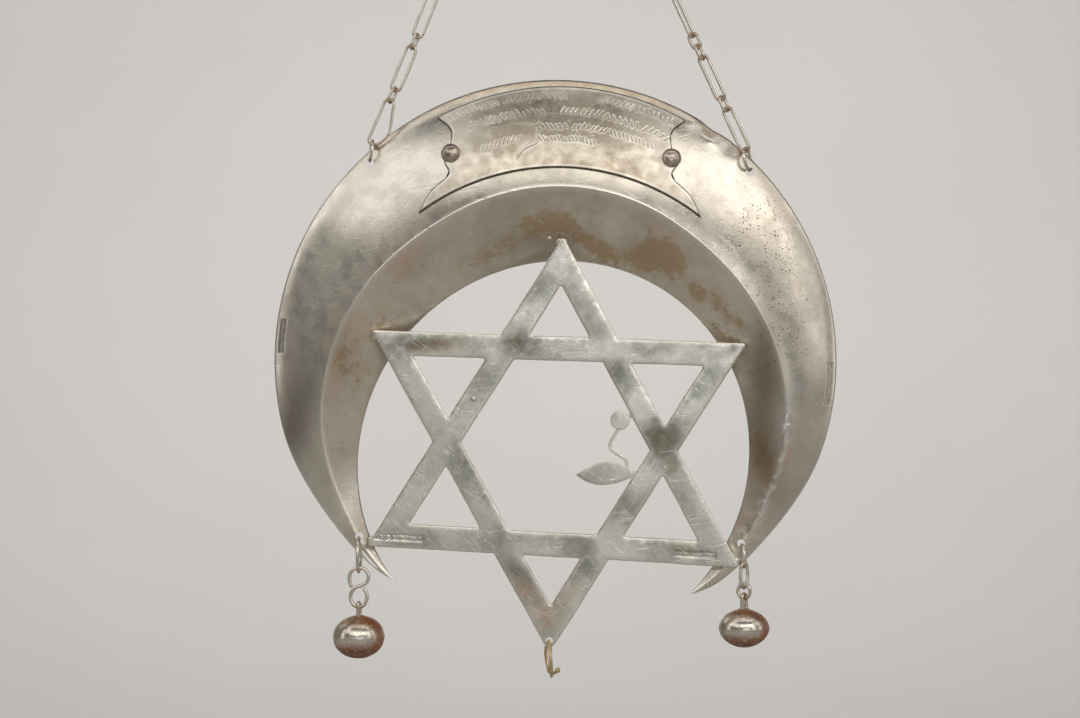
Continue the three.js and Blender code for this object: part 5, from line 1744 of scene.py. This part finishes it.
@dataclass
class OpenworkSpray:
    """What is left of an openwork spray: a bud on a short arm, a bent stem and a leaf."""

    star: StarPlate
    thickness: float = 1.0
    bud: tuple[float, float] = (21.3, -18.2)
    bud_radius: float = 3.1
    arm: tuple[float, float] = (25.3, -16.15)
    stem: tuple[tuple[float, float], ...] = ((21.1, -20.5), (18.4, -26.9), (23.6, -30.9), (23.7, -35.0))
    stem_width: float = 1.05
    leaf_tip: tuple[float, float] = (7.9, -36.2)
    leaf_heel: tuple[float, float] = (26.6, -35.8)
    belly: float = 3.2

    def strip(self, points: np.ndarray, width: float) -> np.ndarray:
        """Loop round a strip: the line's points, half a width to each side."""
        along = unit(np.gradient(points, axis=0))
        side = np.stack([-along[:, 1], along[:, 0]], axis=-1) * width / 2
        return np.vstack([points - side, (points + side)[::-1]])

    def leaf(self) -> np.ndarray:
        """Loop of the leaf: a lower and an upper quadratic curve between its tip and its heel."""
        tip, heel = np.array(self.leaf_tip), np.array(self.leaf_heel)
        middle = (tip[0] + heel[0]) / 2
        low = np.array([middle - 2.0, tip[1] - self.belly * 1.9])
        high = np.array([middle + 3.0, heel[1] + self.belly * 2.7])
        t = np.linspace(0.0, 1.0, 20, endpoint=False)[:, None]
        curve = lambda a, b, c: (1 - t) ** 2 * a + 2 * t * (1 - t) * b + t**2 * c
        return np.vstack([curve(tip, low, heel), curve(heel, high, tip)])

    def build(self) -> None:
        """Makes the spray's parts as cut sheets that run into each other."""
        turn = np.linspace(0.0, 2 * math.pi, 32, endpoint=False)
        bud = np.array(self.bud) + self.bud_radius * np.stack([np.cos(turn), np.sin(turn)], axis=-1)
        arm = np.array([self.bud, self.arm])
        stem = through_points(np.array(self.stem), (), 7)
        made = None
        loops = (bud, self.strip(arm, 1.6), self.strip(stem, self.stem_width), self.leaf())
        for loop, thick in zip(loops, (1.0, 0.96, 0.92, 0.98)):
            if loop_area(loop) < 0:
                loop = loop[::-1]
            cut = SheetCut([loop], self.thickness * thick, [0.16], 0.9)
            part = cut.surface(self.star.on_plate)
            made = part if made is None else made.joined(part)
        made.marks = {Mark.TARNISH_AND_REFLECTION.value: np.full(len(made.points), 0.12)}
        make_piece("spray_plate", made, STAR_FINISH, Slot.STAR, ("openwork_spray",), 35.0)


def link_path(length: float, width: float, wire: float, bow: float = 0.0) -> np.ndarray:
    """A closed loop with straight sides and half-round ends, standing along Z.

    An end is a half circle of the inner half width, and the sides swell outwards by `bow` times
    1 minus the square of their height over the half length.

    Args:
        length: Outer length.
        width: Outer width.
        wire: Diameter of the wire.
        bow: How far the sides swell.

    Returns:
        Points of the wire's middle.
    """
    radius = (width - wire) / 2
    reach = (length - wire) / 2 - radius
    turn = np.linspace(0.0, math.pi, 11)
    arc = np.stack([radius * np.cos(turn), 0 * turn, reach + radius * np.sin(turn)], axis=-1)
    side = np.linspace(reach, -reach, 9)[1:-1]
    left = np.stack([np.full(7, -radius), 0 * side, side], axis=-1)
    path = np.vstack([arc, left, -arc, -left])
    swell = bow * np.clip(1 - (path[:, 2] / max(reach, 1e-6)) ** 2, 0, 1)
    path[:, 0] += np.sign(path[:, 0]) * swell
    return path


def ring_path(radius: float, steps: int = 40) -> np.ndarray:
    """A circle in the XZ plane."""
    turn = np.linspace(0.0, 2 * math.pi, steps, endpoint=False)
    return np.stack([radius * np.cos(turn), 0 * turn, radius * np.sin(turn)], axis=-1)


def soldered(wire: Surface, path: np.ndarray, at: int, grow: float) -> Surface:
    """Swells a closed wire round one of its path's points, where its ends were soldered.

    Every point moves away from the nearest point of the path by `grow` times the bell of its
    distance along the path to the seam.

    Args:
        wire: The wire's surface, made from the path.
        path: The path.
        at: Index of the seam's point.
        grow: Share by which the wire is thicker there.

    Returns:
        The wire with its seam.
    """
    around = len(wire.points) // len(path)
    middle = np.repeat(path, around, axis=0)
    swell = 1 + grow * bell(np.linalg.norm(path - path[at], axis=1), 0.75)
    points = middle + (wire.points - middle) * np.repeat(swell, around)[:, None]
    return Surface(points, wire.faces)


Y_AXIS = (0.0, 1.0, 0.0)


@dataclass
class WireWork:
    """Everything bent from wire that the shield hangs by: top ring, both chains, hanging rings."""

    place: ShieldPlace
    wire: float = 1.0
    long_link: tuple[float, float] = (16.5, 4.1)
    small_link: tuple[float, float] = (6.0, 3.8)
    left: tuple[str, tuple[float, float], float, tuple[float, float], float] = (
        "LsLsLsLsLsLsLsLs",
        (-53.2, -145.1),
        2.4,
        (-12.0, 62.0),
        1.9,
    )
    right: tuple[str, tuple[float, float], float, tuple[float, float], float] = (
        "LsLssLsLsLsLsLsLss",
        (66.6, -147.4),
        0.8,
        (-30.0, 46.0),
        2.6,
    )
    bulge: float = 2.4
    top_radius: float = 5.2
    top_wire: float = 1.3
    gap: float = 0.12
    ring_rest: float = 0.55
    ring_y: float = 0.3
    ring_turns: tuple[float, float] = (-83.0, 70.0)

    def contact(self, start: tuple[float, float]) -> np.ndarray:
        """Where a chain from `start` rests inside the top ring: along that line, by the chord."""
        inner = self.top_radius - self.top_wire / 2
        length = math.hypot(*start)
        chord = 2 * inner * -start[1] / length - self.gap
        return np.array(start) / length * chord

    def placed(self, path: np.ndarray, turn: float, heading: float, at: np.ndarray) -> np.ndarray:
        """Turns a path about its own axis, leans it along the chain and moves it."""
        return turned_y(turned_z(path, turn), heading) + at

    def add_wire(self, name: str, node: str, path: np.ndarray, wire: float, across, seam: int) -> None:
        """Makes one closed wire piece with its solder seam."""
        bare = wire_tube(path, wire, True, across)
        surface = outward(soldered(bare, path, seam, 0.12))
        rise = np.abs(surface.points[:, 2] - surface.points[:, 2].mean())
        ends = smooth_step((rise - np.max(rise) + 2.6) / 1.8)
        surface.marks = {Mark.TARNISH_AND_REFLECTION.value: np.clip(0.08 + 0.75 * ends, 0, 1)}
        make_piece(name, surface, WIRE_FINISH, Slot.WIRE, (node,), 60.0)

    def chain(self, side: str, settings: tuple) -> None:
        """Lays one chain's links end to end on a line that sags by 4 s (1 - s) of its sag."""
        pattern, start, sag, turns, twist = settings
        hold = self.contact(start)
        lengths = [(self.long_link if kind == "L" else self.small_link)[0] - 2 * self.wire for kind in pattern]
        share = np.concatenate([[0.0], np.cumsum(lengths)]) / sum(lengths)
        line = np.array(start) + (hold - np.array(start)) * share[:, None]
        line[:, 0] += -math.copysign(1.0, start[0]) * sag * 4 * share * (1 - share)
        rng = np.random.default_rng(91 if side == "left" else 92)
        counts = {"L": 0, "s": 0}
        for index, kind in enumerate(pattern):
            counts[kind] += 1
            low, high = line[index], line[index + 1]
            length, width = self.long_link if kind == "L" else self.small_link
            path = link_path(length, width, self.wire, rng.uniform(-0.10, 0.16) if kind == "L" else 0.0)
            if side == "left" and index == 0:
                share_up = path[:, 2] / (length / 2)
                out = np.interp(share_up, [-1, -0.9, -0.55, -0.25, 0.1, 0.45, 0.85], [0, 0.15, 0.75, 1, 0.75, 0.35, 0])
                path[:, 0] += self.bulge * out * (path[:, 0] > 0)
            heading = math.degrees(math.atan2(high[0] - low[0], high[1] - low[1]))
            turn = turns[index % 2] + twist * index
            at = np.array([(low[0] + high[0]) / 2, 0.0, (low[1] + high[1]) / 2])
            across = self.placed(np.array([Y_AXIS]), turn, heading, np.zeros(3))[0]
            size = "long" if kind == "L" else "small"
            name = f"chain_{side}_{size}_{counts[kind]}"
            seam = 14 if kind == "L" else 0
            self.add_wire(f"{name}_wire", name, self.placed(path, turn, heading, at), self.wire, across, seam)

    def hanging_ring(self, side: str, hole: tuple[float, float], start: tuple[float, float], turn: float) -> None:
        """Makes the ring that reaches from a hole to its chain."""
        at_hole = self.place.world(np.array([[hole[0], 0.0, hole[1]]]))[0]
        dx, dz = start[0] - at_hole[0], start[1] - at_hole[2]
        span = math.hypot(dx, dz)
        radius = (span - self.ring_rest + self.wire / 2 + self.gap) / 2
        share = (self.ring_rest + radius) / span
        at = np.array([at_hole[0] + dx * share, self.ring_y, at_hole[2] + dz * share])
        heading = math.degrees(math.atan2(dx, dz))
        across = self.placed(np.array([Y_AXIS]), turn, heading, np.zeros(3))[0]
        path = self.placed(ring_path(radius), turn, heading, at)
        self.add_wire(f"hanging_ring_{side}_wire", f"hanging_ring_{side}", path, self.wire, across, 8)

    def build(self, crescent: Crescent) -> None:
        """Makes the top ring, the hanging rings and both chains."""
        drop = np.array([0.0, 0.0, self.top_wire / 2 - self.top_radius])
        self.add_wire("top_ring_wire", "top_ring", ring_path(self.top_radius, 48) + drop, self.top_wire, Y_AXIS, 12)
        for side, hole, chain, turn in zip(("left", "right"), crescent.hang_holes, (self.left, self.right), self.ring_turns):
            self.hanging_ring(side, hole, chain[1], turn)
            self.chain(side, chain)


@dataclass
class Ball:
    """A hollow oblate ball of two soldered domes with a wire eye on top."""

    width: float
    height: float
    eye_rise: float
    eye_turn: float
    seed: int
    roundness: float = 2.0
    seam: float = 0.09
    eye_wire: float = 1.2
    eye_width: float = 3.4
    eye_sink: float = 1.2

    def surface(self, at: np.ndarray) -> Surface:
        """The ball and its eye, hung from a point.

        The profile is a superellipse: width / 2 times cos^(2/n), height / 2 times sin^(2/n). A
        raised seam is the bell of the height, and low dents are lattice noise.

        Args:
            at: The top of the eye.

        Returns:
            The closed surfaces as one.
        """
        turn = np.radians(np.linspace(89.0, -89.0, 73))
        power = 2 / self.roundness
        radius = self.width / 2 * np.cos(turn) ** power
        rise = np.sign(turn) * self.height / 2 * np.abs(np.sin(turn)) ** power
        radius = radius + self.seam * bell(rise, 0.22)
        ball = lathe(np.stack([radius, rise], axis=-1), 80)
        direction = unit(ball.points)
        dents = 0.14 * lattice_noise(ball.points, 5.5, self.seed) + 0.04 * lattice_noise(ball.points, 2.0, self.seed + 1)
        fade = 1 - bell(ball.points[:, 2], 0.5)
        points = ball.points + direction * (dents * fade)[:, None]
        points = points + at - np.array([0.0, 0.0, self.eye_rise + self.height / 2])
        low = points[:, 2] - points[:, 2].mean()
        body = outward(Surface(points, ball.faces))
        aside = (points[:, 0] - at[0]) / (self.width / 2)
        edge = smooth_step((np.hypot(aside + 0.12, low / (self.height / 2)) - 0.62) / 0.38)
        # Browner over the top; painted orange-red reflection round the edge, strongest on the right, and at the
        # bottom; painted shade darkening the bottom, with dark lines beside the seam; a painted highlight over the
        # upper middle.
        body.marks = {
            Mark.TARNISH_AND_REFLECTION.value: np.clip(0.22 + 0.6 * smooth_step((low - 2.0) / 3.5) + 0.5 * edge, 0, 1),
            Mark.BLUSH_AND_REFLECTION.value: np.clip(edge * (0.5 + 0.8 * aside) + 1.0 * smooth_step((-low - 0.8) / 4.0), 0, 1),
            Mark.GROOVE_AND_SHADE.value: np.clip(0.3 * bell(np.abs(low) - 0.42, 0.12) + 0.5 * smooth_step((-low - 1.5) / 4), 0, 1),
            Mark.PITS.value: np.full(len(points), 0.10),
            Mark.WEAR_AND_HIGHLIGHT.value: 0.9 * bell(low - 0.6, 2.4) * bell(aside + 0.05, 0.7),
        }
        length = self.eye_rise + self.eye_sink
        path = turned_z(link_path(length, self.eye_width, self.eye_wire), self.eye_turn)
        path = path + at - np.array([0.0, 0.0, length / 2])
        across = turned_z(np.array([Y_AXIS]), self.eye_turn)[0]
        eye = outward(wire_tube(path, self.eye_wire, True, across))
        collar_profile = np.array([[0.05, 0.35], [0.9, 0.33], [1.5, 0.2], [1.8, 0.0], [1.7, -0.5], [0.05, -0.6]])
        collar = lathe(collar_profile, 28)
        collar.points = collar.points + at - np.array([0.0, 0.0, self.eye_rise + 0.05])
        return body.joined(eye).joined(outward(collar))


@dataclass
class Pendants:
    """What hangs in the horns: a ring, an S-hook and a ball; a ring, two links and a ball."""

    x: tuple[float, float] = (-57.5, 66.1)
    y: float = 1.1
    gap: float = 0.12
    left_ring: tuple[float, float, float, float] = (5.5, 1.1, -277.15, 88.0)
    hook_wire: float = 1.2
    hook_reach: float = 6.27
    hook_line: tuple[tuple[float, float], ...] = (
        (-2.47, 0.48),
        (-2.92, 1.86),
        (-3.05, 3.47),
        (-2.38, 5.17),
        (-1.09, 6.05),
        (0.19, 6.27),
        (1.80, 5.82),
        (2.83, 4.53),
        (3.09, 3.15),
        (2.54, 1.70),
        (1.48, 0.84),
        (0.10, 0.35),
        (-1.19, -0.22),
        (-2.15, -1.19),
        (-2.67, -2.64),
        (-2.60, -4.08),
        (-1.90, -5.43),
        (-0.77, -6.14),
        (0.19, -6.27),
        (1.48, -5.79),
        (2.35, -4.40),
        (2.60, -2.96),
        (2.28, -1.51),
        (1.74, -0.71),
    )
    right_ring: tuple[float, float, float, float] = (3.6, 1.15, -277.55, 96.0)
    right_lean: float = -6.0
    oval: tuple[float, float, float] = (9.1, 3.8, 44.0)
    oval_bow: float = 0.35
    round_link: tuple[float, float] = (2.3, -36.0)
    left_ball: Ball = field(default_factory=lambda: Ball(16.6, 13.7, 4.7, 78.0, 101))
    right_ball: Ball = field(default_factory=lambda: Ball(16.3, 12.6, 5.2, 50.0, 105, 1.88))

    def hung(self, path: np.ndarray, x: float, z: float, turn: float, lean: float = 0.0) -> np.ndarray:
        """Turns a path about the vertical, leans it sideways and hangs it at its height."""
        return turned_y(turned_z(path, turn), lean) + np.array([x, self.y, z])

    def add_wire(self, name: str, path: np.ndarray, wire: float, across, closed: bool = True, seam: int = 3) -> None:
        """Makes one wire piece that stands for the node of the same name."""
        bare = wire_tube(path, wire, closed, across)
        surface = outward(soldered(bare, path, seam, 0.1) if closed else bare)
        low = smooth_step((surface.points[:, 2].min() + 2.0 - surface.points[:, 2]) / 1.6)
        surface.marks = {Mark.TARNISH_AND_REFLECTION.value: 0.2 + 0.6 * low}
        make_piece(f"{name}_wire", surface, WIRE_FINISH, Slot.WIRE, (name,), 60.0)

    def hook_path(self) -> np.ndarray:
        """The S: a smooth curve through its points, in the plane of the chain."""
        line = through_points(np.array(self.hook_line), (), 5)
        return np.stack([line[:, 0], 0 * line[:, 0], line[:, 1]], axis=-1)

    def build(self) -> None:
        """Hangs both pendants, each piece a wire's gap under the one before."""
        x_left, x_right = self.x
        radius, wire, z, turn = self.left_ring
        across = turned_z(np.array([Y_AXIS]), turn)[0]
        self.add_wire("pendant_left_ring", self.hung(ring_path(radius), x_left, z, turn), wire, across)
        hook = z - radius + wire / 2 + self.gap + self.hook_wire / 2 - self.hook_reach
        path = self.hung(self.hook_path(), x_left, hook, 0.0)
        self.add_wire("pendant_left_hook", path, self.hook_wire, Y_AXIS, False)
        eye_top = hook - self.hook_reach + self.hook_wire / 2 + self.gap + self.left_ball.eye_wire
        self.add_ball("left", self.left_ball, np.array([x_left, self.y, eye_top]))
        radius, wire, z, turn = self.right_ring
        ring_x = x_right + radius * math.sin(math.radians(self.right_lean))
        across = turned_y(turned_z(np.array([Y_AXIS]), turn), self.right_lean)[0]
        path = self.hung(ring_path(radius), ring_x, z, turn, self.right_lean)
        self.add_wire("pendant_right_ring", path, wire, across)
        length, width, turn = self.oval
        oval = z - radius + wire / 2 + self.gap + wire - length / 2
        across = turned_z(np.array([Y_AXIS]), turn)[0]
        path = self.hung(link_path(length, width, wire, self.oval_bow), x_right, oval, turn)
        self.add_wire("pendant_right_oval_link", path, wire, across)
        small, turn = self.round_link
        centre = oval - length / 2 + wire + self.gap + wire / 2 - small
        across = turned_z(np.array([Y_AXIS]), turn)[0]
        path = self.hung(ring_path(small), x_right, centre, turn)
        self.add_wire("pendant_right_round_link", path, wire, across)
        eye_top = centre - small + wire / 2 + self.gap + self.right_ball.eye_wire
        self.add_ball("right", self.right_ball, np.array([x_right, self.y, eye_top]))

    def add_ball(self, side: str, ball: Ball, at: np.ndarray) -> None:
        """Makes one ball with its eye."""
        name = f"pendant_{side}_ball"
        make_piece(f"{name}_shell", ball.surface(at), BALL_FINISH, Slot.BALL, (name,), 50.0)


@dataclass
class FootRing:
    """The open golden ring in the star's foot, with a melted bead at its free end."""

    star: StarPlate
    radius: float = 5.8
    wire: float = 1.1
    start: float = -112.0
    sweep: float = 355.0
    free_end: tuple[float, float] = (2.6, 2.1)
    rear_bow: float = -1.2
    front_splay: float = 0.65
    bead: float = 0.8

    def build(self) -> None:
        """Bends the wire across the star: a circle whose free end swings to the right and up.

        The rear strand bows to the left by a bell, and the front strand leans to the right by a
        smooth step, so that the two ends pass each other. A bead closes the free end.
        """
        hole = self.star.on_plate(self.star.foot_hole(), np.array(self.star.thickness / 2))
        share = np.linspace(0.0, 1.0, 64)
        turn = np.radians(self.start + self.sweep * share)
        free = 1 - smooth_step(share / 0.2)
        out, rise = self.free_end
        sideways = out * free + self.rear_bow * bell(share - 0.36, 0.14)
        sideways = sideways + self.front_splay * smooth_step((share - 0.55) / 0.45)
        height = self.radius * np.sin(turn) + rise * free
        path = np.stack([sideways, self.radius * np.cos(turn), height], axis=-1)
        path = path + hole + np.array([0.0, 0.0, -self.radius - 0.1])
        wire = outward(wire_tube(path, self.wire, False, (1.0, 0.0, 0.0)))
        bead = lump(tuple(path[0]), (self.bead, self.bead, self.bead * 1.1), 55)
        surface = wire.joined(bead)
        surface.marks = {Mark.TARNISH_AND_REFLECTION.value: np.full(len(surface.points), 0.15)}
        make_piece("foot_ring_wire", surface, GOLD_FINISH, Slot.GOLD, ("foot_ring",), 60.0)


@dataclass
class Studio:
    """A pale cove, soft lights at both upper sides and the camera at the photograph's place."""

    middle: tuple[float, float, float] = (0.005, 0.0, -0.19)
    floor_z: float = -0.62
    reach: float = 3.4
    bend: float = 1.2
    wall_top: float = 3.6
    camera_at: tuple[float, float, float] = (0.00062, -0.9974, -0.2144)
    lens: float = 103.7
    world_grey: float = 0.06

    def cove(self) -> None:
        """A round floor that bends up into a wall: a profile of floor, quarter circle and wall, turned about Z."""
        turn = np.radians(np.linspace(-90.0, 0.0, 25))
        floor = np.array([[0.1, self.floor_z], [0.6, self.floor_z], [1.4, self.floor_z]])
        bend = np.stack(
            [self.reach - self.bend + self.bend * np.cos(turn), self.floor_z + self.bend + self.bend * np.sin(turn)],
            axis=-1,
        )
        profile = np.vstack([floor, bend, [[self.reach, self.wall_top]]])
        around = np.linspace(0.0, 2 * math.pi, 97)
        radius, height = profile[:, 0][:, None], np.broadcast_to(profile[:, 1][:, None], (len(profile), 97))
        grid = np.stack([radius * np.cos(around), radius * np.sin(around), height], axis=-1)
        mesh = bpy.data.meshes.new("studio_cove")
        faces = grid_faces(len(profile), 97, False, False)[:, ::-1]
        points = [*grid.reshape(-1, 3).tolist(), [0.0, 0.0, self.floor_z]]
        middle = [[len(points) - 1, k, k + 1] for k in range(96)]
        mesh.from_pydata(points, [], [*faces.tolist(), *middle])
        mesh.shade_smooth()
        sketch = NodeSketch("pale_cove")
        cloud = sketch.noise(300.0, 2.0, 0.5)
        paint = sketch.mix(cloud, (0.60, 0.59, 0.57), (0.64, 0.63, 0.61))
        shader = sketch.node("ShaderNodeBsdfPrincipled", Base_Color=paint, Roughness=0.9)
        output = sketch.tree.nodes.new("ShaderNodeOutputMaterial")
        sketch.tree.links.new(shader.outputs[0], output.inputs["Surface"])
        mesh.materials.append(sketch.material)
        cove = bpy.data.objects.new("studio_cove", mesh)
        bpy.context.scene.collection.objects.link(cove)

    def soft_box(self, name: str, at: Colour, size: tuple[float, float], power: float, tint: Colour, aim=None, spread: float = 180.0) -> None:
        """A rectangular light at a place, turned to face its aim or the middle of the object."""
        data = bpy.data.lights.new(name, "AREA")
        data.shape = "RECTANGLE"
        data.size, data.size_y = size
        data.energy = power
        data.spread = math.radians(spread)
        data.color = tint
        light = bpy.data.objects.new(name, data)
        light.location = at
        look = Vector(aim or self.middle) - Vector(at)
        light.rotation_euler = look.to_track_quat("-Z", "Y").to_euler()
        light.visible_camera = False
        bpy.context.scene.collection.objects.link(light)

    def camera(self) -> None:
        """The camera in front of the crescent, level and square to the chain's plane."""
        data = bpy.data.cameras.new("photo_camera")
        data.sensor_width = 36.0
        data.lens = self.lens
        data.clip_start, data.clip_end = 0.05, 30.0
        camera = bpy.data.objects.new("photo_camera", data)
        camera.location = self.camera_at
        camera.rotation_euler = (math.radians(90.0), 0.0, 0.0)
        bpy.context.scene.collection.objects.link(camera)
        bpy.context.scene.camera = camera

    def build(self) -> None:
        """Sets the world's grey, the cove, the lights and the camera."""
        world = bpy.data.worlds.new("studio_world")
        world.use_nodes = True
        background = world.node_tree.nodes["Background"]
        background.inputs["Color"].default_value = (self.world_grey,) * 3 + (1.0,)
        background.inputs["Strength"].default_value = 1.0
        bpy.context.scene.world = world
        self.cove()
        self.soft_box("upper_left_box", (-1.0, -1.7, 1.0), (1.2, 1.0), 3.6, (1.0, 0.98, 0.94))
        self.soft_box("upper_right_box", (1.2, -1.7, 0.95), (1.1, 1.1), 5.2, (1.0, 0.95, 0.88))
        self.soft_box("right_box", (1.95, -1.7, 0.25), (0.8, 1.0), 2.0, (1.0, 0.97, 0.93))
        self.soft_box("top_box", (0.1, -1.9, 0.95), (1.4, 1.0), 5.2, (1.0, 0.95, 0.88))
        self.soft_box("front_box", (0.45, -2.9, -0.35), (1.3, 1.1), 7.4, (0.99, 1.0, 0.98))
        self.soft_box("left_rim_box", (-2.2, -0.5, 0.3), (0.5, 2.4), 3.6, (1.0, 0.98, 0.96))
        self.soft_box("right_rim_box", (2.2, -0.5, 0.4), (0.5, 2.2), 3.0, (1.0, 0.96, 0.90))
        self.soft_box("left_high_box", (-1.7, -0.9, 1.3), (0.9, 1.0), 2.2, (1.0, 0.98, 0.94))
        self.soft_box("right_high_box", (1.8, -0.9, 1.2), (0.9, 1.0), 1.6, (1.0, 0.96, 0.90))
        self.soft_box("over_box", (0.0, -0.4, 1.8), (3.2, 0.8), 7.0, (1.0, 0.97, 0.92))
        self.soft_box("rear_box", (-1.5, 1.4, 1.3), (1.4, 1.2), 3.5, (1.0, 0.99, 0.97))
        self.soft_box("wall_box", (0.0, 1.2, 2.2), (1.6, 0.8), 20.0, (1.0, 0.99, 0.98), (0.0, 3.4, -0.3), 95.0)
        self.camera()
        bpy.context.scene.view_settings.view_transform = "Standard"


def main() -> None:
    """Builds the shield's pieces in order, then the studio round them."""
    place = ShieldPlace()
    crescent = Crescent(place)
    star = StarPlate(place)
    crescent.build()
    CartouchePlate(crescent).build()
    Rivets(crescent).build()
    star.build()
    OpenworkSpray(star).build()
    WireWork(place).build(crescent)
    Pendants().build()
    FootRing(star).build()
    Studio().build()


if __name__ == "__main__":
    main()
